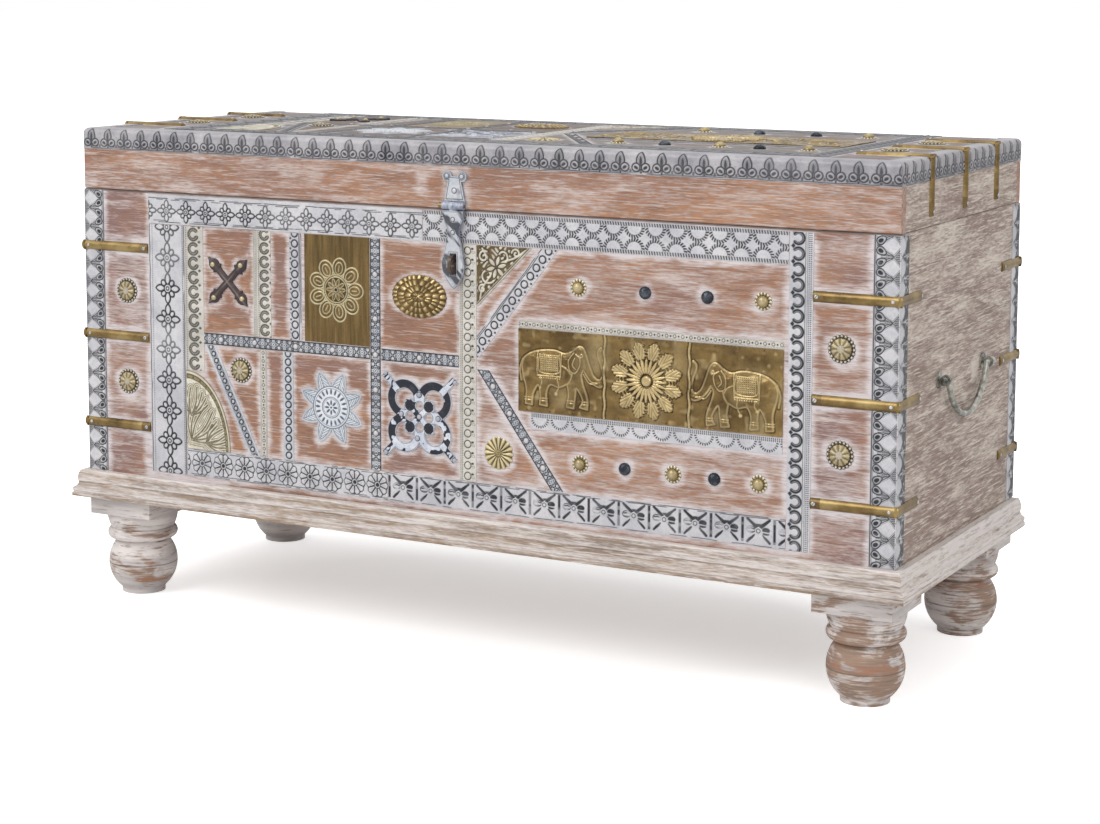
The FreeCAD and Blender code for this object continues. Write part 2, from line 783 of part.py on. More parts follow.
def handle(side, at, way):
    """Two riveted eye posts through the side panel and the bail that swings in them."""
    axis_x = at + way * s.handle_out
    outward = Rotation(Vector(0, 1, 0), 90 * way)
    posts = []
    for end in (-1, 1):
        y = middle_y + end * s.post_at
        inner = at - way * (s.board + s.post_rivet_thick)
        shank = rod("Shank", s.post_shank, s.board + s.post_rivet_thick + s.handle_out)
        put(shank, inner, y, s.handle_lift, outward)
        rivet = put(rod("Rivet", s.post_rivet, s.post_rivet_thick), inner, y, s.handle_lift, outward)
        rose = put(rod("Rose", s.post_rose, s.post_rose_thick), at, y, s.handle_lift, outward)
        eye = put(rod("Eye", s.post_ring, s.post_thick), axis_x, y - s.post_thick / 2, s.handle_lift, ALONG_Y)
        hole = rod("EyeHole", s.bail_rod + s.post_gap, s.post_thick + 2 * s.overrun)
        put(hole, axis_x, y - s.post_thick / 2 - s.overrun, s.handle_lift, ALONG_Y)
        posts.append(cut("Post", joined("PostSolid", [shank, rivet, rose, eye]), hole))
    group(f"{side}_handle_posts", posts)
    node(f"{side}_bail", put(bail(f"{side}_bail"), axis_x, middle_y, s.handle_lift))


class Face:
    """A flat face to lay metal on: u runs right from the left edge, v up or back from its base line."""

    def __init__(self, name, base, turn, tall):
        self.name = name
        self.base = base
        self.turn = turn
        self.tall = tall

    def lay(self, thing, u, v, lift=ZERO):
        x, y, z = self.base
        if self.turn is None:
            return put(thing, x + u, y + v, z + lift)
        return put(thing, x + u, y - lift, z + v, self.turn)

    def plate(self, name, u, v, wide, tall, thick=None):
        return self.lay(box(name, wide, tall, thick or s.sheet), u, v)

    def slanted(self, name, low, high, u_low, u_high, wide):
        """A strip between two levels, leaning from one place to the other."""
        made = doc.addObject("Part::Wedge", name)
        for prop, size in (
            ("Xmin", ZERO),
            ("Xmax", wide),
            ("X2min", u_high - u_low),
            ("X2max", u_high - u_low + wide),
            ("Ymin", ZERO),
            ("Ymax", high - low),
            ("Zmin", ZERO),
            ("Z2min", ZERO),
            ("Zmax", s.sheet),
            ("Z2max", s.sheet),
        ):
            bind(made, prop, size)
        return self.lay(made, u_low, low)


# Shares of the field's height, from its foot: the cross strip, the elephant panel and the rows of studs
CROSS_STRIP_SHARE = 0.478
ELEPHANT_SHARES = (0.323, 0.667)
PEACOCK_SHARE = 0.352
LOWER_MEDAL_SHARE = 0.53
SLANT_FOOT_SHARE = 0.53
UPPER_ROW_SHARE = 0.852
LOWER_ROW_SHARE = 0.125
# Shares of the field right of the scroll strip, from its left edge
FRONT_UPPER_SHARES = [(0.341, "brass"), (0.557, "iron"), (0.753, "iron"), (0.924, "brass")]
FRONT_LOWER_SHARES = [(0.349, "brass"), (0.495, "iron"), (0.65, "brass"), (0.78, "iron"), (0.917, "brass")]
LID_UPPER_SHARES = [(0.354, "brass"), (0.545, "iron"), (0.737, "iron"), (0.91, "brass")]
LID_LOWER_SHARES = [(0.33, "brass"), (0.484, "iron"), (0.663, "brass"), (0.789, "iron"), (0.943, "brass")]
SUN_SHARES = (0.0745, 0.132)
LOWER_SLANT_SHARE = 0.252
UPPER_SLANT_SHARES = (-0.051, 0.215)
FLORAL_SHARE = 0.185
ELEPHANT_LEFT_SHARE = 0.143
LACE_LEFT_SHARE = 0.185
# Shares of the width that the strips of the left half leave for its bare wood and its brass plate
CROSS_PANEL_SHARE = 0.2476
SLIP_PANEL_SHARE = 0.0909
FLOWER_PLATE_SHARE = 0.3041
SLIP_STRIP_SHARE = 0.276
SLIP_LOW_SHARE = 0.0815
# The rosette in the nook beside the leaning strip: from its right, up the row, and its largest reach
NOOK_SHARES = (0.341, 0.791, 0.19)
# Shares of the smaller side of the field that each medallion lies in
CROSS_SHARE = 0.544
OVAL_REACH_SHARE = 0.341
STAR_SHARE = 0.42
FRET_SHARE = 0.478
# Shares along the bottom border and the top border where the pattern changes
DAISY_SHARE = 0.365
FLOWER_SHARE = 0.463
ROSETTE_SHARES = (0.33, 0.65)


def dome(name, radius, rise):
    """A low dome on Z = 0."""
    ball = (radius * radius + rise * rise) / (2 * rise)
    sphere = doc.addObject("Part::Sphere", "Ball")
    bind(sphere, "Radius", ball)
    put(sphere, ZERO, ZERO, rise - ball)
    return common(name, [sphere, rod("Footprint", radius, rise)])


def stud(face, u, v, kind):
    """A domed stud: brass ones have a flat rim, iron ones are plain."""
    if kind == "brass":
        rim_disc = rod("StudRim", s.brass_stud, s.rosette_rise / 2)
        head = dome("StudDome", s.iron_stud, s.brass_stud_rise)
        return face.lay(joined("BrassStud", [rim_disc, head]), u, v)
    return face.lay(dome("IronStud", s.iron_stud, s.iron_stud_rise), u, v)


def spun(name, outline, thick, count, turn):
    """A body with one arm or leaf, drawn along Y, repeated evenly about Z."""
    body = new_body(name)
    drawn = trace(new_sketch(body, "Outline", "XY_Plane", turn=turn), outline)
    arm = pad(body, drawn, thick)
    pattern = body.newObject("PartDesign::PolarPattern", "Around")
    pattern.Originals = [arm]
    pattern.Axis = (drawn, ["N_Axis"])
    pattern.Angle = 360
    pattern.Occurrences = count
    body.Tip = pattern
    doc.recompute()
    return body


STAR_LEAVES = 8
STAR_ROUND_SHARE = 0.57
STAR_ROOT_SHARE = 0.52
STAR_LEAF_SHARE = 0.215


def star(face, u, v, reach):
    """Leaves round a disc."""
    foot = reach * STAR_ROOT_SHARE
    half = reach * STAR_LEAF_SHARE
    rise = reach - foot
    hub = (rise * rise - half * half) / (2 * half)
    leaf = [(-half, foot, (hub, foot)), (half, foot), (ZERO, reach, (-hub, foot))]
    leaves = spun("StarLeaves", leaf, s.star_plate, STAR_LEAVES, 180 / STAR_LEAVES)
    return face.lay(joined("Star", [leaves, rod("StarDisc", reach * STAR_ROUND_SHARE, s.star_plate)]), u, v)


def ellipse_plate(name, major, minor, thick):
    """An elliptical plate with its long axis along X."""
    outline = doc.addObject("Part::Ellipse", name + "Outline")
    bind(outline, "MajorRadius", major)
    bind(outline, "MinorRadius", minor)
    solid = doc.addObject("Part::Extrusion", name)
    solid.Base = outline
    solid.DirMode = "Custom"
    solid.Dir = Vector(0, 0, 1)
    solid.Solid = True
    bind(solid, "LengthFwd", thick)
    return solid


OVAL_SHARE = 0.69


def oval(face, u, v, reach):
    """A raised oval with its long axis level."""
    return face.lay(ellipse_plate("Oval", reach, reach * OVAL_SHARE, s.oval_plate), u, v)


def bar(name, wide, reach, thick, angle):
    """A flat bar with its middle on the origin, turned in its own plane."""
    made = box(name, 2 * reach, wide, thick)
    turn = math.radians(angle)
    x = -reach * math.cos(turn) + wide / 2 * math.sin(turn)
    y = -reach * math.sin(turn) - wide / 2 * math.cos(turn)
    return put(made, x, y, ZERO, Rotation(Vector(0, 0, 1), angle))


# Shares of the fretwork's half width
FRET_LOBE_SHARE = 0.44
FRET_SPREAD_SHARE = 0.39
FRET_HOLE_SHARE = 0.27
FRET_CUSP_SHARE = 0.11
FRET_CUSP_PLACE_SHARE = 0.25
FRET_EYE_SHARE = 0.1


def fretwork(face, u, v, half):
    """Four pierced lobes, each with a cusp standing into its hole, crossed by two arms."""
    reach = half * math.sqrt(2) - s.fret_arm / 2
    lobes = [bar("Arm", s.fret_arm, reach, s.fret_plate, angle) for angle in (45, -45)]
    holes, cusps = [], []
    tall = s.fret_plate + 2 * s.overrun
    for a in (-1, 1):
        for b in (-1, 1):
            x, y = half * FRET_SPREAD_SHARE, half * FRET_CUSP_PLACE_SHARE
            lobe = rod("Lobe", half * FRET_LOBE_SHARE, s.fret_plate)
            lobes.append(put(lobe, a * x, b * x))
            holes.append(put(rod("Hole", half * FRET_HOLE_SHARE, tall), a * x, b * x, -s.overrun))
            cusps.append(put(rod("Cusp", half * FRET_CUSP_SHARE, tall), a * y, b * y, -s.overrun))
    pierced = cut("Pierced", joined("Lobes", holes), joined("Cusps", cusps))
    eyes = []
    for a, b in ((-1, 0), (1, 0), (0, -1), (0, 1)):
        eye = half * FRET_EYE_SHARE
        place = half * FRET_CUSP_PLACE_SHARE
        eyes.append(put(rod("Eye", eye, tall), a * place, b * place, -s.overrun))
    return face.lay(cut("Fretwork", joined("FretSolid", lobes), joined("FretHoles", [pierced] + eyes)), u, v)


# Shares of a cross arm's reach: half widths and places from the middle to the tip
CROSS_ARM_SHARES = [(0.105, 0), (0.105, 0.47), (0.2, 0.54), (0.15, 0.59)]
CROSS_ARM_SHARES += [(0.18, 0.7), (0.15, 0.8), (0.06, 0.9)]


def iron_cross(face, u, v, reach):
    """Four forged arms with leaf-shaped ends."""
    right = [(reach * a, reach * b if b else ZERO) for a, b in CROSS_ARM_SHARES]
    left = [(-x, y) for x, y in reversed(right)]
    cross = spun("Cross", right + [(ZERO, reach)] + left, s.cross_plate, 4, 45)
    return face.lay(cross, u, v)


def corner_plate(face, name, u, v, size):
    """A right-angled corner plate with a slanted long side."""
    made = doc.addObject("Part::Wedge", name)
    for prop, amount in (
        ("Xmin", ZERO),
        ("Xmax", s.lay_gap),
        ("X2min", ZERO),
        ("X2max", size),
        ("Ymin", ZERO),
        ("Ymax", size),
        ("Zmin", ZERO),
        ("Z2min", ZERO),
        ("Zmax", s.sheet),
        ("Z2max", s.sheet),
    ):
        bind(made, prop, amount)
    return face.lay(made, u, v)


def fan_plate(face, u, v, wide, tall):
    """A corner plate whose outer side is a quarter of an ellipse."""
    sweep = put(ellipse_plate("FanSweep", tall, wide, s.sheet), turn=Rotation(Vector(0, 0, 1), 90))
    return face.lay(common("Fan", [box("FanBlank", wide, tall, s.sheet), sweep]), u, v)


def dress(face, upper_studs, lower_studs):
    """Lays the same scheme of borders, strips, plates, medallions and studs on a face."""
    g = s.lay_gap
    low = s.border_lift
    field = low + s.border_bottom + g
    ceiling = face.tall - s.border_drop - s.border_top
    top = ceiling - g
    tall = top - field
    cross = field + tall * CROSS_STRIP_SHARE
    above = cross + s.filigree + g
    made = {}

    left = s.corner_leg + s.outer_panel + g
    inner = left + s.border_left + g
    right_border = s.body_wide - s.corner_leg - s.outer_panel + g - s.border_right
    span = right_border - g - inner
    made["left_border"] = face.plate("LeftBorder", left, low, s.border_left, top - low)
    right_tall = ceiling + s.border_top - low
    made["right_border"] = face.plate("RightBorder", right_border, low, s.border_right, right_tall)
    flowers = (right_border - g - left) * FLOWER_SHARE
    made["flower_border"] = face.plate("FlowerBorder", left, ceiling, flowers, s.border_top)
    lattice = left + flowers + g
    rest = right_border - g - lattice
    made["lattice_border"] = face.plate("LatticeBorder", lattice, ceiling, rest, s.border_top)
    daisies = span * DAISY_SHARE
    made["daisy_border"] = face.plate("DaisyBorder", inner, low, daisies, s.border_bottom)
    crosses = inner + daisies + g
    rest = right_border - g - crosses
    made["cross_border"] = face.plate("CrossBorder", crosses, low, rest, s.border_bottom)

    # The left half: strips of fixed width, with bare wood, a brass plate and medallions between them
    scroll = s.body_wide / 2 + s.scroll_offset
    free = scroll - inner - s.beaded - s.beaded_narrow - s.chain - s.plate_margin - g - s.filigree
    upper, lower = top - above, cross - g - field

    # Its upper row, from left to right
    fan_tall = tall * PEACOCK_SHARE
    beaded = [face.plate("Beaded", inner, field + fan_tall + g, s.beaded, top - field - fan_tall - g)]
    wood_1 = inner + s.beaded
    panel = free * CROSS_PANEL_SHARE
    reach = smaller(panel, upper) * CROSS_SHARE
    made["iron_cross"] = iron_cross(face, wood_1 + panel / 2, above + upper / 2, reach)
    u = wood_1 + panel
    beaded.append(face.plate("Beaded", u, above, s.beaded_narrow, upper))
    u = u + s.beaded_narrow + free * SLIP_PANEL_SHARE
    chains = [face.plate("Chain", u, above, s.chain, upper)]
    u = u + s.chain + s.plate_margin
    plate = free * FLOWER_PLATE_SHARE
    made["flower_plate"] = face.plate("FlowerPlate", u, above, plate, upper)
    post = u + plate + g
    filigrees = [face.plate("Filigree", post, field, s.filigree, tall)]
    room = scroll - post - s.filigree
    medal = scroll - room / 2
    made["oval"] = oval(face, medal, above + upper / 2, smaller(room, upper) * OVAL_REACH_SHARE)
    made["scroll"] = face.plate("Scroll", scroll, field, s.scroll, tall)

    # The cross strip, in two lengths either side of the upright filigree strip
    filigrees.append(face.plate("Filigree", wood_1, cross, post - g - wood_1, s.filigree))
    after = post + s.filigree + g
    filigrees.append(face.plate("Filigree", after, cross, scroll - g - after, s.filigree))

    # Its lower row
    made["fan"] = fan_plate(face, inner, field, s.beaded + panel / 2, fan_tall)
    slip = wood_1 + free * SLIP_STRIP_SHARE
    lean_foot = slip - g - s.diagonal_narrow
    chains.append(face.slanted("Chain", field, field + lower, lean_foot, wood_1 + g, s.diagonal_narrow))
    beaded.append(face.plate("Beaded", slip, field, s.beaded_slip, lower))
    nook = slip - wood_1
    nook_rosette = (smaller(s.rosette, nook * NOOK_SHARES[2]), slip - nook * NOOK_SHARES[0])
    u = slip + s.beaded_slip + free * SLIP_LOW_SHARE
    chains.append(face.plate("Chain", u, field, s.chain_narrow, lower))
    star_room = post - u - s.chain_narrow
    medal_v = field + lower * LOWER_MEDAL_SHARE
    spare = lower * (1 - LOWER_MEDAL_SHARE) * 2
    made["star"] = star(face, post - star_room / 2, medal_v, smaller(star_room, spare) * STAR_SHARE)
    made["fretwork"] = fretwork(face, medal, medal_v, smaller(room, spare) * FRET_SHARE)

    # The right half
    start = scroll + s.scroll + g
    wide = right_border - g - start
    panel_low = field + tall * ELEPHANT_SHARES[0]
    panel_rise = tall * (ELEPHANT_SHARES[1] - ELEPHANT_SHARES[0])
    panel_left = start + wide * ELEPHANT_LEFT_SHARE
    panel_wide = start + wide - panel_left - s.plate_margin
    made["elephants"] = face.plate("Elephants", panel_left, panel_low, panel_wide, panel_rise)
    over = panel_low + panel_rise + g
    beaded.append(face.plate("Beaded", panel_left, over, panel_wide, s.panel_strip))
    lace = start + wide * LACE_LEFT_SHARE
    lace_wide = panel_left + panel_wide - lace
    made["lace"] = face.plate("Lace", lace, panel_low - g - s.lace_strip, lace_wide, s.lace_strip)
    filigrees.append(
        face.slanted("Filigree", field, cross, start + wide * LOWER_SLANT_SHARE, start, s.diagonal_narrow)
    )
    slant_low = field + tall * SLANT_FOOT_SHARE
    slant_foot, slant_top = (start + wide * share for share in UPPER_SLANT_SHARES)
    slant = face.slanted("Slant", slant_low, top, slant_foot, slant_top, s.diagonal_wide)
    chains.append(common("Chain", [slant, face.plate("SlantField", start, slant_low, wide, top - slant_low)]))
    floral = wide * FLORAL_SHARE
    made["floral"] = corner_plate(face, "Floral", start, top - floral, floral)
    made["beaded"] = beaded
    made["chains"] = chains
    made["filigrees"] = filigrees

    # Studs and rosettes
    made["brass"], made["iron"] = [], []
    for row, shares in ((UPPER_ROW_SHARE, upper_studs), (LOWER_ROW_SHARE, lower_studs)):
        for along, kind in shares:
            made[kind].append(stud(face, start + wide * along, field + tall * row, kind))
    panels = (s.corner_leg + s.outer_panel / 2, s.body_wide - s.corner_leg - s.outer_panel / 2)
    rosettes = [
        face.lay(cone("Rosette", s.rosette, s.rosette / 2, s.rosette_rise), u, face.tall * v)
        for u in panels
        for v in ROSETTE_SHARES
    ]
    reach, u = nook_rosette
    nook_cone = cone("Rosette", reach, reach / 2, s.rosette_rise)
    rosettes.append(face.lay(nook_cone, u, field + lower * NOOK_SHARES[1]))
    sun = cone("SunRosette", s.sun_rosette, s.sun_rosette / 2, s.rosette_rise)
    rosettes.append(face.lay(sun, start + wide * SUN_SHARES[0], field + tall * SUN_SHARES[1]))
    made["rosettes"] = rosettes
    return made


def front_metal():
    face = Face("front", (left_x, front_y, plinth_top), OUT_FRONT, rim - plinth_top)
    made = dress(face, FRONT_UPPER_SHARES, FRONT_LOWER_SHARES)
    node("left_border", made["left_border"])
    node("right_border", made["right_border"])
    group("top_borders", [made["flower_border"], made["lattice_border"]])
    group("bottom_borders", [made["daisy_border"], made["cross_border"]])
    group("beaded_strips", made["beaded"])
    group("chain_strips", made["chains"])
    group("filigree_strips", made["filigrees"])
    node("scroll_strip", made["scroll"])
    node("lace_strip", made["lace"])
    node("flower_plate", made["flower_plate"])
    node("peacock_plate", made["fan"])
    node("floral_corner_plate", made["floral"])
    node("elephant_panel", made["elephants"])
    node("star_medallion", made["star"])
    node("oval_medallion", made["oval"])
    node("fretwork_medallion", made["fretwork"])
    node("iron_cross", made["iron_cross"])
    group("rosettes", made["rosettes"])
    group("brass_studs", made["brass"])
    group("iron_studs", made["iron"])


def lid_metal():
    depth = s.body_deep - s.edge_strip
    face = Face("top", (left_x, front_y + s.edge_strip, lid_top), None, depth)
    made = dress(face, LID_UPPER_SHARES, LID_LOWER_SHARES)
    borders = ("left_border", "right_border", "flower_border", "lattice_border")
    borders += ("daisy_border", "cross_border")
    group("lid_borders", [made[name] for name in borders] + [made["scroll"], made["lace"]])
    group("lid_strips", made["beaded"] + made["chains"] + made["filigrees"])
    group("lid_plates", [made[name] for name in ("flower_plate", "fan", "floral", "elephants")])
    medals = [made[name] for name in ("star", "oval", "fretwork", "iron_cross")]
    group("lid_medallions", medals + made["rosettes"])
    group("lid_studs", made["brass"] + made["iron"])


def edge_strips():
    """Embossed strips folded over the lid's rounded upper edges, mitred at the front corners."""
    t, r, leg = s.sheet, s.lid_round, s.edge_strip
    hub = (-r, -r)
    profile = [
        (-leg, ZERO),
        (-leg, t),
        (-r, t),
        (t, -r, hub),
        (t, -leg),
        (ZERO, -leg),
        (ZERO, -r),
        (-r, ZERO, hub),
    ]
    front = moulding("FrontEdge", profile, s.body_wide + 2 * t, -leg, t, (True, True))
    strips = [put(front, ZERO, front_y, lid_top, FACING["front"])]
    for side, at, mitres in (("left", left_x, (False, True)), ("right", right_x, (True, False))):
        strip = moulding(f"{side}Edge", profile, s.body_deep + t, -leg, t, mitres)
        strips.append(put(strip, at, middle_y - t / 2, lid_top, FACING[side]))
    return group("lid_edge_strips", strips)


def corner_angles():
    """Embossed angles over the four upright corners, above the plinth."""
    low = plinth_top + s.lay_gap
    tall = rim - s.arris - low
    angles = {}
    ends = (("front", front_y, s.corner_leg, -1), ("back", back_y, s.corner_back_leg, 1))
    for end, face_y, reach, deep in ends:
        for side, at, way in (("left", left_x, -1), ("right", right_x, 1)):
            y = face_y - s.sheet if deep < 0 else face_y
            x = at if way < 0 else at - reach
            leg = put(box("Leg", reach, s.sheet, tall), x, y, low)
            back = s.corner_side_leg + s.sheet
            start_y = face_y - s.sheet if deep < 0 else face_y + s.sheet - back
            start_x = at - s.sheet if way < 0 else at
            flank = put(box("Flank", s.sheet, back, tall), start_x, start_y, low)
            angles[end, side] = joined(f"{end}_{side}_angle", [leg, flank])
    group("corner_angles", list(angles.values()))
    return angles


def half_round(name, length):
    """A half-round bar along X, its flat side down at Z = 0."""
    half = s.strap_wide / 2
    radius = (half * half + s.strap_proud * s.strap_proud) / (2 * s.strap_proud)
    round_bar = put(rod("Round", radius, length), ZERO, ZERO, s.strap_proud - radius, ALONG_X)
    blank = put(box("Blank", length, s.strap_wide, s.strap_proud), ZERO, -half, ZERO)
    return common(name, [round_bar, blank])


def nail(x, y, z, turn):
    return put(dome("Nail", s.nail_head, s.nail_rise), x, y, z, turn)


STRAP_LEVEL_SHARES = (0.175, 0.49, 0.802)
LID_STRAP_SHARES = (0.225, 0.5, 0.77)


def turned(*angles):
    """A rotation made of turns about X, Y and Z in that order."""
    whole = Rotation()
    for axis, angle in zip((Vector(1, 0, 0), Vector(0, 1, 0), Vector(0, 0, 1)), angles):
        whole = Rotation(axis, angle).multiply(whole)
    return whole


def corner_straps(angles):
    """Half-round straps bent round each upright corner, held by a nail at each end."""
    head = 2 * s.nail_head
    nails = []
    kept = []
    for end, face_y, whole, deep in (("front", front_y, strap_front, -1), ("back", back_y, s.strap_side, 1)):
        reach = whole - head
        for side, at, way in (("left", left_x, -1), ("right", right_x, 1)):
            for share in STRAP_LEVEL_SHARES:
                z = plinth_top + (rim - plinth_top) * share
                out_face = OUT_FRONT if deep < 0 else turned(-90, 0, 0)
                x = at if way < 0 else at - reach
                face_bar = put(half_round("FaceBar", reach), x, face_y, z, out_face)
                outer = at - s.strap_proud if way < 0 else at
                corner = put(half_round("CornerEnd", s.strap_proud), outer, face_y, z, out_face)
                out_side = turned(90 * way, 0, 90) if way > 0 else turned(90, 0, -90)
                start = side_start(way, deep, face_y)
                side_bar = half_round("SideBar", s.strap_side - head + s.strap_proud)
                put(side_bar, at, start, z, out_side)
                bent = joined("Strap", [face_bar, corner, side_bar])
                kept.append(cut("SeatedStrap", bent, angles[end, side]))
                nail_x = at - way * (whole - s.nail_head)
                nails.append(nail(nail_x, face_y, z, out_face))
                side_y = face_y - deep * (s.strap_side - s.nail_head)
                nails.append(nail(at, side_y, z, Rotation(Vector(0, 1, 0), 90 * way)))
    group("corner_straps", kept)
    group("strap_nails", nails)


def side_start(way, deep, face_y):
    """Where a side bar of a corner strap begins, which depends on the way it is turned."""
    near = face_y + deep * s.strap_proud
    far = face_y - deep * (s.strap_side - 2 * s.nail_head)
    if way > 0:
        return near if deep < 0 else far
    return far if deep < 0 else near


def lid_straps(edges):
    """Half-round straps from the lid's ends over its rounded edges onto the top, on the edge strips."""
    kept, nails = [], []
    over_reach = strap_top - 2 * s.nail_head
    down_reach = s.lid_strap_drop - 2 * s.nail_head
    for side, at, way in (("left", left_x, -1), ("right", right_x, 1)):
        for share in LID_STRAP_SHARES:
            y = front_y + s.body_deep * share
            x = at - s.strap_proud if way < 0 else at - over_reach
            over = put(half_round("OverBar", over_reach + s.strap_proud), x, y, lid_top)
            down = half_round("DownBar", down_reach + s.strap_proud)
            z = lid_top - down_reach if way < 0 else lid_top + s.strap_proud
            put(down, at, y, z, Rotation(Vector(0, 1, 0), -90 if way < 0 else 90))
            kept.append(cut("LidStrap", joined("LidStrapSolid", [over, down]), edges))
            nails.append(nail(at - way * (strap_top - s.nail_head), y, lid_top, None))
            low = lid_top - s.lid_strap_drop + s.nail_head
            nails.append(nail(at, y, low, Rotation(Vector(0, 1, 0), 90 * way)))
    group("lid_straps", kept)
    group("lid_strap_nails", nails)


carcass()
plinth()
feet()
hinge_leaves()
lid()
hasp_plate()
hasp_pin()
hasp_leaf()
staple()
handle("left", left_x, -1)
handle("right", right_x, 1)
front_metal()
corner_straps(corner_angles())
lid_straps(edge_strips())
lid_metal()

doc.recompute()
for thing in doc.Objects:
    if {"Invalid", "Error"} & set(thing.State):
        raise RuntimeError(f"{thing.Name} failed: {thing.State}")
for thing in NODES:
    if thing.Shape.isNull() or not thing.Shape.isValid():
        raise RuntimeError(f"{thing.Label} has no valid shape")
    thing.Shape.exportStep(f"parts/{thing.Label}.step")
print(len(NODES), "sub-parts written")
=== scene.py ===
"""Looks of the dowry chest: whitewashed wood, embossed metal strips, brass plates, studs and fittings."""
import math
from functools import partial, reduce
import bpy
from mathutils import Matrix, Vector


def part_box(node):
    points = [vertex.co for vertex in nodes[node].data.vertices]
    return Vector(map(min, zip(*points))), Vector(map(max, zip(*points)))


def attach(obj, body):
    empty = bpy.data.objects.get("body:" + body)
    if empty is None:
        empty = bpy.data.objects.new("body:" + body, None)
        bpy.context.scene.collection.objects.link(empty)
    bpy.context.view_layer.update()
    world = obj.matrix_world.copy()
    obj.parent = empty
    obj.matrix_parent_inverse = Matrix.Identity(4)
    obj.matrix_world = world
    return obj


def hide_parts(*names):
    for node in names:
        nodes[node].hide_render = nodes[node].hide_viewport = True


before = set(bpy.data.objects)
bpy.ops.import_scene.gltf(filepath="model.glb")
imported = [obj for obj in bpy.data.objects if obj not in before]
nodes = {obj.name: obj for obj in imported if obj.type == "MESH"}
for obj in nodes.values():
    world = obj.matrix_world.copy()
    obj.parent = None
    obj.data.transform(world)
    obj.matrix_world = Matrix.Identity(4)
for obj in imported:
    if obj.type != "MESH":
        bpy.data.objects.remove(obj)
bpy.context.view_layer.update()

from types import SimpleNamespace

import bpy
import numpy as np
from mathutils import Matrix, Vector

scene = bpy.context.scene

# Materials


def material(name, **plain):
    """A new material, and a small helper object to add nodes to it."""
    made = bpy.data.materials.new(name)
    made.use_nodes = True
    tree = made.node_tree
    shader = tree.nodes["Principled BSDF"]
    for socket, value in plain.items():
        shader.inputs[socket.replace("_", " ")].default_value = value
    return made, Web(tree, shader)


class Web:
    """Adds shader nodes in one call each and links them."""

    def __init__(self, tree, shader):
        self.tree, self.shader = tree, shader
        self.place = self.add("ShaderNodeTexCoord").outputs["Object"]

    def add(self, kind, inputs=(), **settings):
        made = self.tree.nodes.new(kind)
        for key, value in settings.items():
            setattr(made, key, value)
        for key, value in dict(inputs).items():
            self.feed(made.inputs[key], value)
        return made

    def feed(self, socket, value):
        if isinstance(value, bpy.types.NodeSocket):
            self.tree.links.new(value, socket)
        else:
            socket.default_value = value

    def out(self, socket, value):
        self.feed(self.shader.inputs[socket], value)

    def math(self, operation, a, b):
        return self.add("ShaderNodeMath", {0: a, 1: b}, operation=operation).outputs[0]

    def total(self, *parts):
        """The sum of values, each times its share."""
        whole = None
        for value, share in parts:
            part = self.math("MULTIPLY", value, share)
            whole = part if whole is None else self.math("ADD", whole, part)
        return whole

    def vector(self, operation, a, b=(0, 0, 0)):
        inputs = {0: a} if operation in ("LENGTH", "ABSOLUTE") else {0: a, 1: b}
        made = self.add("ShaderNodeVectorMath", inputs, operation=operation)
        return made.outputs["Value" if operation == "LENGTH" else "Vector"]

    def axis(self, letter):
        return self.add("ShaderNodeSeparateXYZ", {0: self.place}).outputs[letter]

    def scaled(self, x, y, z, shift=(0, 0, 0), turn=(0, 0, 0)):
        inputs = {"Vector": self.place, "Scale": (x, y, z), "Location": shift, "Rotation": turn}
        return self.add("ShaderNodeMapping", inputs).outputs[0]

    def noise(self, vector, scale, detail=3.0, rough=0.55, warp=0.0):
        inputs = {"Vector": vector, "Scale": scale, "Detail": detail, "Roughness": rough, "Distortion": warp}
        return self.add("ShaderNodeTexNoise", inputs).outputs["Fac"]

    def ramp(self, value, *stops):
        """Stops are (place, colour or grey)."""
        made = self.add("ShaderNodeValToRGB", {0: value})
        band = made.color_ramp
        while len(band.elements) < len(stops):
            band.elements.new(0.5)
        for stop, (place, colour) in zip(band.elements, stops):
            stop.position = place
            stop.color = (*colour, 1) if isinstance(colour, tuple) else (colour, colour, colour, 1)
        return made.outputs["Color"]

    def span(self, value, low, high, to_low=0.0, to_high=1.0):
        inputs = {"Value": value, "From Min": low, "From Max": high, "To Min": to_low, "To Max": to_high}
        return self.add("ShaderNodeMapRange", inputs).outputs[0]

    def mix(self, share, a, b):
        made = self.add("ShaderNodeMix", {"Factor": share}, data_type="RGBA")
        for name, value in (("A", a), ("B", b)):
            socket = [x for x in made.inputs if x.name == name and x.type == "RGBA"][0]
            self.feed(socket, value if isinstance(value, bpy.types.NodeSocket) else (*value, 1))
        return [x for x in made.outputs if x.type == "RGBA"][0]

    def bump(self, height, distance, strength):
        inputs = {"Distance": distance, "Strength": strength, "Height": height}
        self.out("Normal", self.add("ShaderNodeBump", inputs).outputs[0])

    def near(self, boxes, reach):
        """1 at the outline of the nearest box (middle, half size), down to 0 at reach from it."""
        nearest = None
        for middle, half in boxes:
            apart = self.vector("ABSOLUTE", self.vector("SUBTRACT", self.place, middle))
            outside = self.vector("MAXIMUM", self.vector("SUBTRACT", apart, half))
            far = self.vector("LENGTH", outside)
            nearest = far if nearest is None else self.math("MINIMUM", nearest, far)
        return self.span(nearest, 0.0, reach, 1.0, 0.0)

    def attribute(self, name):
        return self.add("ShaderNodeAttribute", attribute_name=name).outputs["Fac"]


def linear(r, g, b):
    return tuple(((c / 255 + 0.055) / 1.055) ** 2.4 if c > 10 else c / 255 / 12.92 for c in (r, g, b))


def tones(*codes):
    """Linear colours from their hexadecimal screen values."""
    return tuple(linear(*bytes.fromhex(code)) for code in codes)


WASH = linear(208, 197, 193)


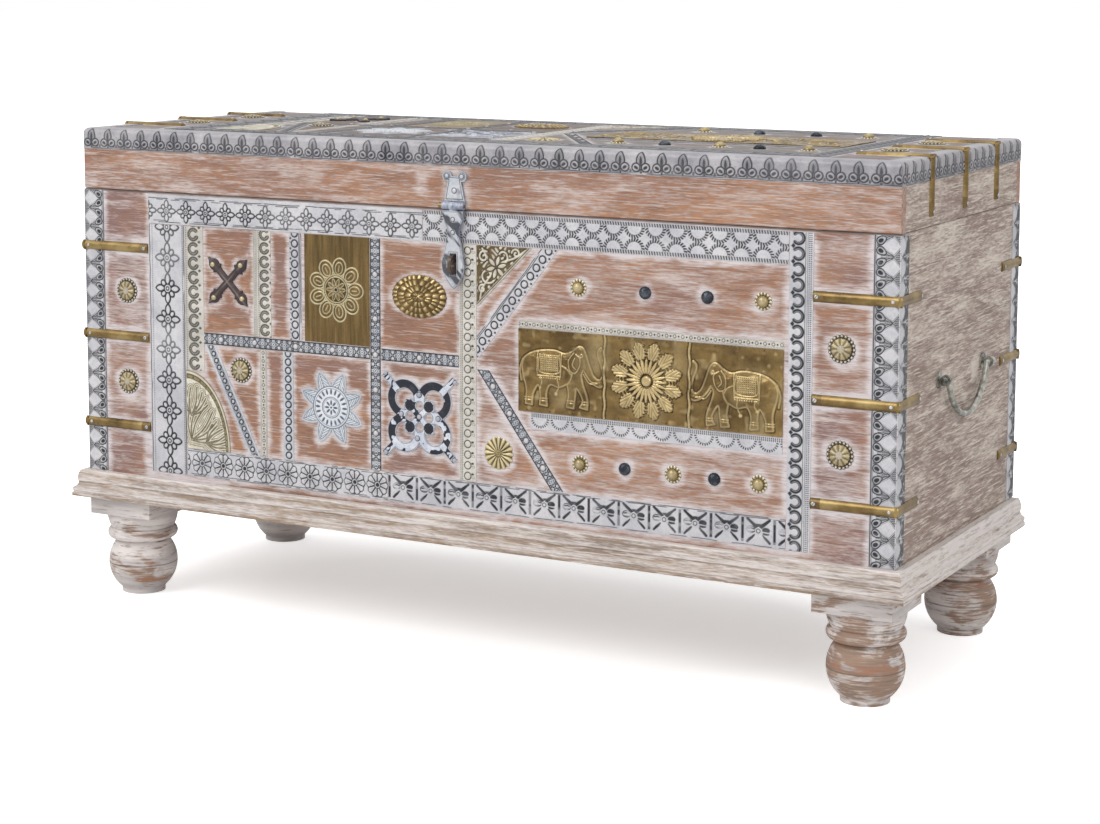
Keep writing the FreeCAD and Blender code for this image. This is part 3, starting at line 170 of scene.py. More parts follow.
def washed(
    name, seed, woods, amount, along, wash=WASH, tilt=0.0, depth=1.0, halo=False, near=(), tight=1.0, bands=(),
    crisp=1.0, lower=0.0, drift=(8, 32), scratch=1.0,
):
    """Brown wood brushed with a pale wash, with the grain along an axis, 0 for X and 1 for Y.

    Amount, halo, near and lower say where more wash lies. Bands paint the moulding's beads paler and its coves
    darker, as painted highlight and shade, and with halo the mesh adds a painted shadow along the board's top edge.
    Tilt, tight, crisp and drift shape its streaks, scratch is the strength of the fine lines, and depth that of the
    grain's bump.
    """
    made, web = material(name, Roughness=0.62)
    turn = (0, tilt, 0) if along == 0 else (tilt, 0, 0)
    steep = tuple(x * 1.9 for x in turn)

    def grain(long, short, shift, detail, rough, warp=0.2, turn=turn):
        stretch = [long if i == along else short for i in range(3)]
        return web.noise(web.scaled(*stretch, shift=shift, turn=turn), 1.0, detail, rough, warp)

    fine = grain(90, 700 * tight, (seed, 1, 2), 3, 0.6)
    middle = grain(18, 210 * tight, (2, seed, 3), 4, 0.65)
    cloud = grain(*drift, (7, seed, 1), 4, 0.6, 0.6)
    field = grain(3.4, 15, (seed, 5, seed), 3, 0.6, 0.4)
    wood = web.ramp(field, (0.34, woods[0]), (0.5, woods[1]), (0.66, woods[2]))
    wood = web.mix(web.span(fine, 0.42, 0.62, 0, 0.65), wood, woods[3])
    share = web.total((fine, 0.36), (middle, 0.24), (cloud, 0.4))
    coat = wash
    if halo:
        share = web.math("ADD", share, web.math("MULTIPLY", web.attribute("halo"), 0.14))
        wood = web.mix(web.math("MULTIPLY", web.attribute("tint"), 0.75), wood, linear(118, 90, 90))
        coat = web.mix(web.math("MULTIPLY", web.attribute("halo"), 0.8), wash, linear(214, 209, 213))
    if near:
        share = web.math("ADD", share, web.math("MULTIPLY", web.near(near, 0.009), 0.11))
    # Bands paint the moulding's beads paler and its coves darker, as painted highlight and shade
    if bands:
        level = web.span(web.axis("Z"), *PLINTH)
        share = web.math("ADD", share, web.span(web.ramp(level, *bands), 0, 1, -0.09, 0.11))
    if lower:
        share = web.math("ADD", share, web.span(web.axis("Z"), 0.17, 0.6, -lower, lower))
    half_covered, blur = 0.545 - amount, 0.095 / crisp
    cover = web.span(share, half_covered - blur, half_covered + blur, 0.03, 0.88)
    tone = web.mix(cover, wood, coat)
    tone = web.mix(web.span(middle, 0.3, 0.42, 0.4, 0), tone, woods[3])
    pale_lines = grain(26, 430, (seed, 8, seed), 2, 0.6, 0.35, steep)
    tone = web.mix(web.span(pale_lines, 0.55, 0.63, 0, 0.6 * scratch), tone, wash)
    dark_lines = grain(34, 470, (9, seed, seed), 2, 0.6, 0.35, steep)
    tone = web.mix(web.span(dark_lines, 0.56, 0.66, 0, 0.42 * scratch), tone, woods[3])
    # A painted shadow along the board's top arris, for the gap under the lid
    if halo:
        tone = web.mix(web.attribute("gap_shadow"), tone, linear(52, 42, 40))
    web.out("Base Color", tone)
    web.bump(web.total((fine, 0.6), (middle, 0.5)), 0.0006 * depth, 0.6)
    return made


ORANGE = tones("a67654", "966a50", "8a6452", "6c4e3e")
PURPLE = tones("907a6e", "846e66", "8a7868", "68564e")
BEIGE = tones("a0866a", "927c68", "86766c", "645448")
BROWN = tones("9e7a5e", "8c6c56", "7c6454", "5c483c")
# Greyer, darker tones for the lid's top: partly its own colour, partly painted shade
GREYED_AND_SHADED = tones("746052", "685850", "5e524c", "423a36")
PALE = linear(220, 212, 208)
# How pale the plinth's moulding is painted from its foot to its upper edge: painted highlights on its beads and
# painted shade in its coves
MOULDING_LIGHT_AND_SHADE = (
    (0.0, 0.0), (0.1, 0.3), (0.2, 0.75), (0.32, 0.7), (0.42, 0.2), (0.54, 0.3), (0.6, 0.85), (0.7, 0.6), (0.82, 0.22),
    (0.93, 0.45), (0.985, 1.0),
)
# The levels of the plinth's foot and top, and the height of the feet, in metres
PLINTH = (0.135, 0.1702)
FOOT_TALL = 0.135
# The thin dark line round each foot's ball
BALL_LINE = ((0.30, 0.0), (0.304, 0.65), (0.312, 0.65), (0.316, 0.0))
# How brown each level of a foot is rubbed: disc, ball, rings and block
FOOT_WEAR = ((0.0, 0.2), (0.1, 0.25), (0.16, 0.8), (0.52, 1.0), (0.62, 0.5), (0.78, 0.35), (0.82, 0.0))


def turned_wood(name):
    """A pale foot, rubbed down to the brown wood in wide patches that run round it."""
    made, web = material(name, Roughness=0.6)
    grain = web.noise(web.scaled(30, 30, 420), 1.0, 4, 0.6, 0.2)
    patches = web.noise(web.scaled(17, 17, 30, shift=(3, 1, 4)), 1.0, 5, 0.62, 0.6)
    ground = web.noise(web.scaled(8, 8, 60, shift=(1, 2, 8)), 1.0, 3, 0.5, 0.3)
    pale = web.mix(web.span(ground, 0.35, 0.65), PALE, linear(180, 174, 172))
    brown = web.mix(web.span(grain, 0.38, 0.62), BROWN[0], BROWN[2])
    warm = web.mix(web.span(ground, 0.52, 0.64, 0, 0.7), brown, linear(156, 102, 68))
    level = web.span(web.axis("Z"), 0.0, FOOT_TALL)
    share = web.total((patches, 0.6), (grain, 0.4))
    for more in (
        web.span(web.axis("X"), -0.5, 0.5, -0.052, 0.036),
        web.span(web.axis("Y"), -0.2, 0.2, 0.018, -0.03),
        web.span(web.ramp(level, *FOOT_WEAR), 0, 1, -0.06, 0.03),
    ):
        share = web.math("ADD", share, more)
    tone = web.mix(web.span(share, 0.485, 0.56, 0.0, 0.9), pale, warm)
    tone = web.mix(web.ramp(level, *BALL_LINE), tone, linear(96, 80, 68))
    tone = web.mix(web.span(grain, 0.34, 0.42, 0.45, 0.0), tone, BROWN[3])
    web.out("Base Color", tone)
    web.bump(web.math("ADD", grain, patches), 0.0008, 0.5)
    return made


SIDE_SPOTS = [((0.572, y, z), (0.01, 0.0145, 0.0055)) for y in (-0.198, 0.206) for z in (0.2245, 0.3525, 0.4815)]
SIDE_SPOTS += [((0.572, y, 0.36), (0.01, 0.009, 0.009)) for y in (-0.05, 0.058)]
HASP_SPOTS = [((-0.048, -0.212, 0.58), (0.004, 0.01, 0.007)), ((0.0, -0.212, 0.575), (0.015, 0.01, 0.03))]
front_wood = washed("front_wood", 1.3, ORANGE, -0.01, 0, halo=True, scratch=0.55)
back_wood = washed("back_wood", 3.3, ORANGE, 0.02, 0)
rail_wood = washed("rail_wood", 4.1, ORANGE, -0.012, 0, near=HASP_SPOTS, scratch=0.7)
# The lid's top board is painted darker than the front, in its wood and its wash, as painted shade on the top
top_wood = washed("top_wood", 5.2, GREYED_AND_SHADED, 0.02, 0, linear(150, 148, 148), halo=True, scratch=0.3)
side_wood = washed(
    "side_wood", 2.2, PURPLE, 0.018, 1, linear(212, 200, 188), tilt=0.34, near=SIDE_SPOTS, tight=0.7, crisp=1.15,
    lower=0.03, drift=(7, 40), scratch=1.25,
)
side_rail_wood = washed(
    "side_rail_wood", 2.7, PURPLE, 0.018, 1, linear(212, 200, 188), tilt=0.16, tight=0.7, crisp=1.15, drift=(7, 40),
    scratch=1.25,
)
plinth_wood = washed("plinth_wood", 6.0, BEIGE, 0.038, 0, PALE, depth=2.5, bands=MOULDING_LIGHT_AND_SHADE, crisp=1.05, drift=(6, 46))
plinth_side_wood = washed(
    "plinth_side_wood", 6.5, BEIGE, 0.15, 1, PALE, depth=2.5, bands=MOULDING_LIGHT_AND_SHADE, crisp=1.05, drift=(6, 46),
)
foot_wood = turned_wood("foot_wood")


def metal(name, shades, rough=0.42, metallic=0.85, scale=60.0, brushed=(1, 1, 1), stops=(0.32, 0.5, 0.7)):
    """Worn metal in three tones with brushed noise."""
    made, web = material(name, Metallic=metallic)
    field = web.noise(web.scaled(*brushed), scale, 5, 0.65)
    web.out("Base Color", web.ramp(field, *zip(stops, shades)))
    web.out("Roughness", web.span(field, 0.3, 0.7, rough - 0.1, rough + 0.12))
    web.bump(field, 0.0003, 0.4)
    return made


brass = metal("aged_brass", tones("544228", "846e44", "b09a6c"), 0.34, 0.8, 30, (0.6, 1, 1))
iron_white = metal("worn_iron", tones("464a5c", "969baa", "cdd0d8"), 0.5, 0.35, 45, (3, 1, 1.2))
iron_dark = metal("dark_iron", tones("1a1c22", "2c3038", "60666e"), 0.3, 0.6)
staple_iron = metal("staple_iron", tones("3a2e2a", "564840", "84786e"), 0.45, 0.4)
nail_metal = metal("nail_metal", tones("78746c", "a8a296", "cec8bc"), 0.4, 0.6)
# The handles' palest tone, in wide random patches, is a painted highlight on the bars
bail_metal = metal(
    "bail_metal", tones("3e3e3a", "808078", "cecec6"), 0.3, 0.7, 30, (1, 1, 1), stops=(0.36, 0.46, 0.62),
)
plate_metal = metal("plain_metal", tones("b0b0b8", "c6c5cc", "d4d2d6"), 0.5, 0.1)

FINISH = {
    name: look
    for look, names in (
        (front_wood, "front_panel"),
        (back_wood, "back_panel bottom_board"),
        (side_wood, "left_side_panel right_side_panel"),
        (plinth_wood, "plinth_front"),
        (plinth_side_wood, "plinth_left plinth_right"),
        (foot_wood, "foot_front_left foot_front_right foot_back_left foot_back_right foot_dowels"),
        (rail_wood, "lid_front_rail lid_back_rail"),
        (side_rail_wood, "lid_left_rail lid_right_rail"),
        (top_wood, "lid_top_board"),
        (iron_white, "body_hinge_leaves lid_hinge_leaves hasp_plate hasp_leaf"),
        (iron_dark, "hinge_pins iron_cross iron_studs"),
        (staple_iron, "staple"),
        (bail_metal, "left_handle_posts right_handle_posts left_bail right_bail"),
        (nail_metal, "strap_nails lid_strap_nails"),
        (brass, "hasp_pin brass_studs rosettes corner_straps lid_straps oval_medallion flower_plate elephant_panel"),
        (brass, "peacock_plate floral_corner_plate lid_plates lid_studs"),
    )
    for name in names.split()
}
for name, node in nodes.items():
    look = FINISH.get(name, plate_metal)
    if not node.data.materials:
        node.data.materials.append(look)
    for slot in node.material_slots:
        slot.link = "OBJECT"
        slot.material = look

# Embossed sheets


class Face:
    """A flat side of the chest: a corner in millimetres, the ways across and up it, and the way out of it."""

    def __init__(self, corner, across, up, out):
        self.corner, self.across, self.up, self.out = (np.array(x, float) for x in (corner, across, up, out))
        self.laid = []

    def at(self, u, v, h):
        return self.corner + u[:, None] * self.across + v[:, None] * self.up + h[:, None] * self.out


FRONT = Face((-572, -212, 0), (1, 0, 0), (0, 0, 1), (0, -1, 0))
TOP = Face((-572, 0, 630), (1, 0, 0), (0, 1, 0), (0, 0, 1))
RIGHT = Face((572, 0, 0), (0, 1, 0), (0, 0, 1), (1, 0, 0))
LEFT = Face((-572, 0, 0), (0, -1, 0), (0, 0, 1), (-1, 0, 0))
BACK = Face((0, 220, 0), (-1, 0, 0), (0, 0, 1), (0, 1, 0))
# How far each sheet is let into what it lies on
SUNK = 0.05
# Half the body's width, which is where the front's and the lid's U starts from
HALF = 572
# The radius of the lid's rounded upper edge
LID_BEND = 6.0
# The straps: their width, the lower edge of each row on the body, and the front edge of each on the lid
STRAP_WIDE = 13.0
STRAP_FEET = (230.0, 349.7, 468.3)
LID_STRAP_FEET = (-121.3, -2.5, 114.1)
# Half the field of the forged cross, and the half axes of the oval
CROSS_HALF = 31
OVAL = (38.9, 26.8)
# A distance that is out of reach of every line and edge
FAR = 1e3


def mesh_of(name, points, quads, marks, rim=None):
    """A mesh from numpy arrays, with one number per point for each mark, and a flat face round each rim loop."""
    made = bpy.data.meshes.new(name)
    loops = quads.ravel()
    starts = np.arange(0, quads.size, 4)
    for loop in rim or []:
        starts = np.append(starts, len(loops))
        loops = np.append(loops, loop)
    made.vertices.add(len(points))
    made.vertices.foreach_set("co", (points / 1000).astype(np.float32).ravel())
    made.loops.add(len(loops))
    made.loops.foreach_set("vertex_index", loops.astype(np.int32))
    made.polygons.add(len(starts))
    made.polygons.foreach_set("loop_start", starts.astype(np.int32))
    made.update(calc_edges=True)
    made.validate()
    for key, values in marks.items():
        made.attributes.new(key, "FLOAT", "POINT").data.foreach_set("value", values.astype(np.float32))
    made.shade_smooth()
    made.set_sharp_from_angle(angle=math.radians(55))
    return made


def piece_of(name, mesh, look, body, node):
    made = bpy.data.objects.new(name, mesh)
    scene.collection.objects.link(made)
    mesh.materials.append(look)
    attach(made, body)
    if node:
        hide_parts(node)
    return made


def squares_between(across, tall):
    """The quads of a grid of points that runs upward first."""
    first = (np.arange(across - 1)[:, None] * tall + np.arange(tall - 1)).ravel()
    return np.stack([first, first + tall, first + tall + 1, first + 1], 1)


def sides_open(quads, count):
    """The sides of quads that no other quad shares."""
    sides = np.concatenate([quads[:, [i, (i + 1) % 4]] for i in range(4)])
    code = sides[:, 0].astype(np.int64) * count + sides[:, 1]
    back = sides[:, 1].astype(np.int64) * count + sides[:, 0]
    return sides[~np.isin(code, back)]


def closed(quads, count, top, low, marks):
    """Adds the side walls to a sheet of quads, and the rim of its flat underside when its open edge is one loop.
    Returns points, quads, marks and rims.
    """
    open_sides = sides_open(quads, count)
    used = np.unique(open_sides)
    lookup = np.full(count, -1)
    lookup[used] = np.arange(len(used))
    upper = count + lookup
    lower = count + len(used) + lookup
    a, b = open_sides[:, 0], open_sides[:, 1]
    walls = np.stack([upper[b], upper[a], lower[a], lower[b]], 1)
    points = np.concatenate([top, top[used], low[used]])
    marks = {key: np.concatenate([value, value[used], value[used] * 0]) for key, value in marks.items()}
    following = dict(zip(a.tolist(), b.tolist()))
    rims = []
    if len(following) == len(open_sides):
        left = set(following)
        while left:
            start = here = left.pop()
            loop = [int(lower[start])]
            while following[here] != start:
                here = following[here]
                left.discard(here)
                loop.append(int(lower[here]))
            rims.append(loop[::-1])
    if len(rims) != 1:
        rims = []
    return points, np.concatenate([quads, walls]), marks, rims


def box_edge(place):
    """Distance outside an upright rectangle (u, v, u, v)."""
    u_0, v_0, u_1, v_1 = place
    middle_u, middle_v, half_u, half_v = (u_0 + u_1) / 2, (v_0 + v_1) / 2, (u_1 - u_0) / 2, (v_1 - v_0) / 2

    def edge(u, v):
        a, b = abs(u - middle_u) - half_u, abs(v - middle_v) - half_v
        return np.hypot(most(a, 0), most(b, 0)) + least(most(a, b), 0)

    return edge


def emboss(name, place, motif, face, body, node, look, edge=None, step=0.8):
    """A sheet over place (u, v, u, v), cut where edge(u, v) is over zero. Motif gives its height and its marks."""
    u_0, v_0, u_1, v_1 = place
    face.laid.append(edge or box_edge(place))
    across = np.linspace(u_0, u_1, max(3, int((u_1 - u_0) / step) + 2))
    upward = np.linspace(v_0, v_1, max(3, int((v_1 - v_0) / step) + 2))
    u, v = (x.ravel() for x in np.meshgrid(across, upward, indexing="ij"))
    quads = squares_between(len(across), len(upward))
    if edge is not None:
        middle_u, middle_v = u[quads].mean(1), v[quads].mean(1)
        quads = quads[edge(middle_u, middle_v) < 0]
        kept, quads = np.unique(quads, return_inverse=True)
        quads = quads.reshape(-1, 4)
        u, v = u[kept], v[kept]
        rim = np.unique(sides_open(quads, len(u)))
        # The rim's points slide down the slope of the distance until they lie on the outline
        for _ in range(3):
            x, y, small = u[rim], v[rim], 0.05
            far = edge(x, y)
            slope_u = (edge(x + small, y) - edge(x - small, y)) / (2 * small)
            slope_v = (edge(x, y + small) - edge(x, y - small)) / (2 * small)
            share = far / most(slope_u**2 + slope_v**2, 0.2)
            move = np.clip(np.hypot(share * slope_u, share * slope_v), 1e-9, None)
            share *= least(1, 0.7 * step / move)
            u[rim] = x - share * slope_u
            v[rim] = y - share * slope_v
    height, marks = motif(u, v)
    return sheet_of(name, quads, u, v, height, -SUNK, marks, face, look, body, node)


def sheet_of(name, quads, u, v, height, low, marks, face, look, body, node):
    """The closed piece of a sheet of quads on a face, between its heights and one low level."""
    points, quads, marks, rims = closed(quads, len(u), face.at(u, v, height), face.at(u, v, low + u * 0), marks)
    return piece_of(name, mesh_of(name, points, quads, marks, rims), look, body, node)


def unit(values):
    return np.clip(values, 0, 1)


def soft(far, blur=0.3):
    """How much of a point lies inside a shape, from its distance outside the edge."""
    return unit(0.5 - far / (2 * blur))


def dome(r, reach):
    """The height of a half round: 1 in the middle and 0 from reach on."""
    return np.sqrt(unit(1 - (r / reach) ** 2))


def most(*layers):
    """The largest of several layers at each point."""
    return reduce(np.maximum, layers)


def least(*layers):
    """The smallest of several layers at each point."""
    return reduce(np.minimum, layers)


def stroke(far, wide, blur=0.3):
    return soft(abs(far) - wide / 2, blur)


def almond(x, y, long, half):
    """Distance outside a pointed oval that lies along X."""
    round_ = (long * long + half * half) / (2 * half)
    return np.hypot(x, abs(y) + round_ - half) - round_


def egg(x, y, a, b):
    reach = np.hypot(x / a, y / b)
    return (reach - 1) * reach / (np.hypot(x / a**2, y / b**2) + 1e-6)


def run(x, y, a, b):
    """Distance from a straight run between two points."""
    ax, ay = x - a[0], y - a[1]
    bx, by = b[0] - a[0], b[1] - a[1]
    share = unit((ax * bx + ay * by) / (bx * bx + by * by + 1e-12))
    return np.hypot(ax - share * bx, ay - share * by)


def curve(points, count=8):
    """Points of a smooth line through the given ones."""
    p = np.array([points[0], *points, points[-1]], float)
    made = []
    for a, b, c, d in zip(p, p[1:], p[2:], p[3:]):
        square, cube = 2 * a - 5 * b + 4 * c - d, 3 * b - a - 3 * c + d
        for t in np.linspace(0, 1, count, endpoint=False):
            made.append(0.5 * (2 * b + (c - a) * t + square * t * t + cube * t**3))
    return [*made, p[-1]]


def drawn(x, y, lines, count=6):
    """Distance from the nearest of several smooth lines."""
    far = np.full(x.shape, FAR)
    for line in lines:
        points = curve(line, count)
        for a, b in zip(points, points[1:]):
            low_x, high_x = min(a[0], b[0]) - 6, max(a[0], b[0]) + 6
            low_y, high_y = min(a[1], b[1]) - 6, max(a[1], b[1]) + 6
            near = (x > low_x) & (x < high_x) & (y > low_y) & (y < high_y)
            far[near] = least(far[near], run(x[near], y[near], a, b))
    return far


def fold(x, y, count, turn=0.0):
    """The point in the nearest of count equal sectors, with X along the sector."""
    sector = 2 * math.pi / count
    angle = (np.arctan2(y, x) - turn + sector / 2) % sector - sector / 2
    reach = np.hypot(x, y)
    return reach * np.cos(angle), reach * np.sin(angle)


def beat(s, pitch, start=0.0):
    """The distance along a strip from the middle of the nearest repeat."""
    return (s - start + pitch / 2) % pitch - pitch / 2


TABLE = np.random.RandomState(7).rand(4096)


def wander(s, pitch, seed=0):
    """Smooth noise from 0 to 1 along a line."""
    place = s / pitch + seed * 37.3
    whole = np.floor(place).astype(int)
    part = place - whole
    part = part * part * (3 - 2 * part)
    return TABLE[whole % 4096] * (1 - part) + TABLE[(whole + 1) % 4096] * part


def patch(u, v, pitch, seed=0):
    """Smooth noise from 0 to 1 over a face."""
    x, y = u / pitch + seed * 13.7, v / pitch + seed * 7.1
    i, j = np.floor(x).astype(int), np.floor(y).astype(int)
    a, b = x - i, y - j
    a, b = a * a * (3 - 2 * a), b * b * (3 - 2 * b)

    def pick(m, n):
        return TABLE[(m * 157 + n * 911 + m * n * 3) % 4096]

    low = pick(i, j) * (1 - a) + pick(i + 1, j) * a
    high = pick(i, j + 1) * (1 - a) + pick(i + 1, j + 1) * a
    return low * (1 - b) + high * b


def broken(s, t, at, wide, seed, run_long=9.0, part=0.42):
    """A worn dark line along a strip, with gaps."""
    sway = (wander(s, 14, seed) - 0.5) * 0.8
    there = unit((wander(s, run_long, seed + 3) - part) * 8 + 0.5)
    return stroke(t - at + sway, wide) * there


def dotted(s, t, at, pitch, round_, blur=0.25):
    return soft(np.hypot(beat(s, pitch), t - at) - round_, blur)


def dashed(s, t, at, pitch, wide, tall):
    return soft(most(abs(beat(s, pitch)) - wide / 2, abs(t - at) - tall / 2), 0.25)


def pressed(ink, lift, base=0.7, deep=0.55, high=0.7):
    """Height of a sheet whose dark lines lie deep and whose shapes stand high."""
    return base + high * lift - deep * ink


# Motifs for strips: s along the strip, t across it, both in millimetres. Each gives (ink, lift).


def blossom(x, y, wide, tall, line=1.4):
    """A diamond-shaped flower: four long petals with a short one between each two, round a ringed heart."""
    r = wide
    y = y * wide / tall
    px, py = fold(x, y, 4)
    qx, qy = fold(x, y, 4, math.pi / 4)
    long = almond(px - 0.63 * r, py, 0.37 * r, 0.2 * r)
    short = egg(qx - 0.5 * r, qy, 0.2 * r, 0.165 * r)
    heart = np.hypot(x, y)
    ring = heart - 0.29 * r
    whole = least(long, short, ring)
    # The thicker line round the whole flower is painted shade along its outer edge
    ink = most(
        most(stroke(short, line), stroke(long, line)) * (ring > 0),
        most(stroke(ring, line), stroke(heart - 0.12 * r, line * 0.9)), stroke(whole - 0.4, line * 1.3, 0.45),
    )
    return ink, soft(whole + 0.5, 1.2)


def daisy(x, y, reach, petals, line=1.1, eye=0.17):
    """A round flower of separate petals, each with its own outline, round a dark eye."""
    px, py = fold(x, y, petals)
    heart = np.hypot(x, y)
    widest = reach * math.tan(math.pi / petals) * 0.78
    tip_at = reach - widest - 0.2
    half = np.interp(px / reach, (0.24, 0.5, 0.8), (0.05 * reach, 0.6 * widest, widest))
    leaf = np.where(px > tip_at, np.hypot(px - tip_at, py) - widest, most(abs(py) - half, reach * 0.26 - px))
    ink = most(
        stroke(leaf + 0.2, line), soft(-leaf) * soft(heart - reach * 0.93, 0.6) * soft(reach * 0.25 - heart, 0.5),
        stroke(py, 0.6) * soft(abs(px - reach * 0.56) - reach * 0.12) * 0.55, soft(heart - reach * eye, 0.5),
        stroke(heart - reach * 0.27, 0.7) * 0.5,
    )
    return ink * soft(heart - reach * 1.03), soft(leaf + 0.6, 1.0)


def blossom_border(s, t):
    """Blossoms in a row between broken double lines."""
    low, high = 2.2, 33.6
    ink, lift = blossom(beat(s, 31.3, 29.3), t - 17.0, 14.4, 14.2)
    ink = most(
        ink * (0.72 + 0.28 * unit(wander(s, 60, 5) * 1.6)), broken(s, t, low, 1.1, 1, 12, 0.3),
        broken(s, t, low + 1.9, 0.9, 2), broken(s, t, high, 1.1, 3, 12, 0.3), broken(s, t, high - 1.9, 0.9, 4),
    )
    return ink, lift


def side_border(s, t):
    """The tall left border: large blossoms between dotted lines."""
    ink, lift = blossom(t - 29.5, beat(s, 40.5, 3.0), 18.6, 19.6, 1.7)
    ink = most(
        ink * (0.7 + 0.3 * unit(wander(s, 50, 8) * 1.7)), dotted(s, t, 5.2, 2.4, 0.62) * 0.9,
        dotted(s, t, 53.6, 2.4, 0.7), broken(s, t, 1.2, 1.2, 9, 24, 0.2) * 0.9,
    )
    return most(ink, broken(s, t, 55.7, 1.2, 11, 20, 0.15)), lift


def daisy_border(s, t):
    ink, lift = daisy(beat(s, 33.9, 23), t - 17.9, 16.2, 10)
    for at, seed in ((0.9, 1), (2.6, 2), (33.2, 3), (35.0, 4)):
        ink = most(ink, broken(s, t, at, 0.9, seed, 7, 0.35))
    return ink, lift


def cross_border(s, t):
    """Square fields with dark strokes towards the corners, a ringed nail, a light and a dark leaf, parted by bars."""
    x, y = beat(s, 40.2, 21.8), t - 18.6
    bar = most(abs(beat(s, 40.2, 41.9)) - 1.7, abs(y) - 14.4)
    wobble = (patch(s, t, 7, 2) - 0.5) * 1.1
    upper = run(abs(x), y, (2.6, 4.6), (14.0, 13.6)) - np.interp(y, (4.6, 13.6), (2.3, 1.4))
    notch = most(abs(x) - np.clip(y - 4.6, 0, 3.0), y - 8.0)
    lower = run(abs(x), -y, (5.4, 5.0), (14.0, 13.6)) - np.interp(-y, (5, 9, 13.6), (0.9, 1.8, 1.4))
    arm = least(np.where(y > 0, least(upper, notch), lower), 9) - wobble * 0.6
    ink = soft(arm, 0.5)
    tail = least(egg(x - 9.4, y - 1.4, 5.2, 3.4), egg(x - 9.6, y + 2.8, 4.4, 2.0))
    split = abs(y + 0.7 + 0.08 * x) - 0.55
    right = most(tail, 4.4 - x, -split)
    ink = most(ink, soft(right + wobble * 0.5, 0.5))
    left = egg(x + 9.6, y - 1.0, 5.4, 3.8)
    light = most(
        stroke(left, 1.2), soft(abs(y + 1.6) - 0.6) * soft(left) * 0.9,
        soft(abs(y - 2.2 + 0.3 * np.cos(x)) - 0.9) * soft(left + 0.6),
    )
    ink = most(ink, light * np.clip(patch(s, t, 6, 4) * 1.8 - 0.1, 0.25, 1) * (x < -3.6))
    ink = ink * (0.84 + 0.16 * unit(patch(s, t, 12, 6) * 1.7))
    heart = np.hypot(x, y)
    ink = most(
        np.where(heart < 4.2, stroke(heart - 2.4, 1.2) * 0.85, ink),
        soft(bar, 0.6) * (0.6 + 0.4 * soft(0.35 - wander(t + 40 * np.floor((s - 21.8) / 40.2), 5, 3), 0.1)),
    )
    for at, seed in ((1.0, 12), (33.6, 13), (34.9, 14)):
        ink = most(ink, broken(s, t, at, 0.9, seed, 10, 0.3))
    return ink, soft(heart - 4.0, 1.0) + soft(right + 0.5, 1.0) * 0.2


def lattice(s, t):
    """Half rounds of short dashes, rising from the lower edge and hanging from the upper one."""
    ink = np.zeros(s.shape)
    x = beat(s, 27.4, 15.7)
    for level, way in ((5.6, 1), (32.6, -1)):
        y = (t - level) * way
        reach, angle = np.hypot(x, y), np.arctan2(y, x)
        teeth = soft(abs(beat(angle + 0.03 * (reach - 11.4), math.pi / 11, math.pi / 22)) * reach - 1.12, 0.25)
        ink = most(ink, soft(abs(reach - 11.7) - 2.3, 0.3) * teeth * (y > -0.5))
    for at, seed in ((2.8, 0.6), (35.6, 0.0)):
        ink = most(ink, dashed(s + 0.25 * (t - at), t, at, 3.4, 2.1, 4.6) * (0.88 + 0.12 * wander(s, 6, seed)))
    return ink * (0.85 + 0.15 * patch(s, t, 20, 2)), ink * 0


def horseshoe(x, y, reach, wide, way, gap=0.75):
    """A thick C that opens towards way, an angle."""
    angle = (np.arctan2(y, x) - way + math.pi) % (2 * math.pi) - math.pi
    ring = abs(np.hypot(x, y) - reach) - wide / 2
    open_ = (gap - abs(angle)) * reach
    body = most(ring, open_)
    for side in (-1, 1):
        end = way + side * (gap + 0.06)
        body = least(body, np.hypot(x - reach * math.cos(end), y - reach * math.sin(end)) - wide / 2)
    return body


def horseshoe_border(s, t):
    """The right border: dark horseshoes open to the left, then a double line and fine dots."""
    y = beat(s, 17.9, 4.0)
    body = horseshoe(t - 10.4, y, 6.4, 4.2, math.pi)
    ink = soft(body, 0.45)
    # A paler line along the inner side of each C is a painted highlight on its curve
    ridge = stroke(np.hypot(t - 10.4, y) - 5.5, 1.0) * soft(body + 0.9)
    ink = unit(ink - 0.45 * ridge)
    leaf = abs(t - 4.0) + abs(beat(s, 17.9, 12.9)) * 0.9
    ink = most(ink, soft(leaf - 2.8, 0.5), stroke(t - 19.3, 0.9) * 0.8, stroke(t - 21.9, 0.8) * 0.75)
    for at in (24.0, 26.4):
        ink = most(ink, dashed(t, beat(s, 2.3), 0, 1000, 1000, 1.1) * soft(abs(t - at) - 0.75, 0.25))
    return ink, soft(np.hypot(t - 10.4, y) - 4.2, 1.4) * 0.6


def beaded(s, t, pitch=18.8, middle=13.5, reach=6.6, wide=2.2):
    """Thick C rings with a bright heart that open to the right, with a leaf between them and dots at the left."""
    y = beat(s, pitch, 9)
    r = np.hypot(t - middle, y)
    body = horseshoe(t - middle, y, reach, wide * 1.75, 0.15, 0.6)
    curl = np.hypot(t - middle - reach * 0.62, y + reach * 0.5) - reach * 0.2
    body = least(body, curl)
    angle = np.arctan2(y, t - middle)
    ink = most(soft(body, 0.4) * (0.8 + 0.2 * unit(np.cos(angle * 15))), stroke(body, 1.1, 0.35))
    ink = unit(ink - stroke(r - reach + 0.4, 0.7) * 0.45)
    leaf = abs(t - middle - 9.4) * 0.8 + abs(beat(s, pitch, 9 + pitch / 2)) - 2.2
    ink = most(ink, soft(leaf, 0.5) * 0.9, dotted(s, t, 1.7, 2.4, 0.75), dotted(s, t, 3.9, 2.4, 0.55) * 0.7)
    return ink, soft(r - reach + 2, 1.6)


def lined_beads(s, t):
    """The second beaded strip: smaller rings beside two lines and a row of dots."""
    ink, lift = beaded(s, t - 6.5, 17.6, 11.0, 5.8, 2.0)
    ink = most(ink * (t > 7.5), stroke(t - 1.2, 0.7) * 0.7, dotted(s, t, 3.2, 2.2, 0.6))
    return most(ink, stroke(t - 5.2, 0.7) * 0.7), lift * (t > 7)


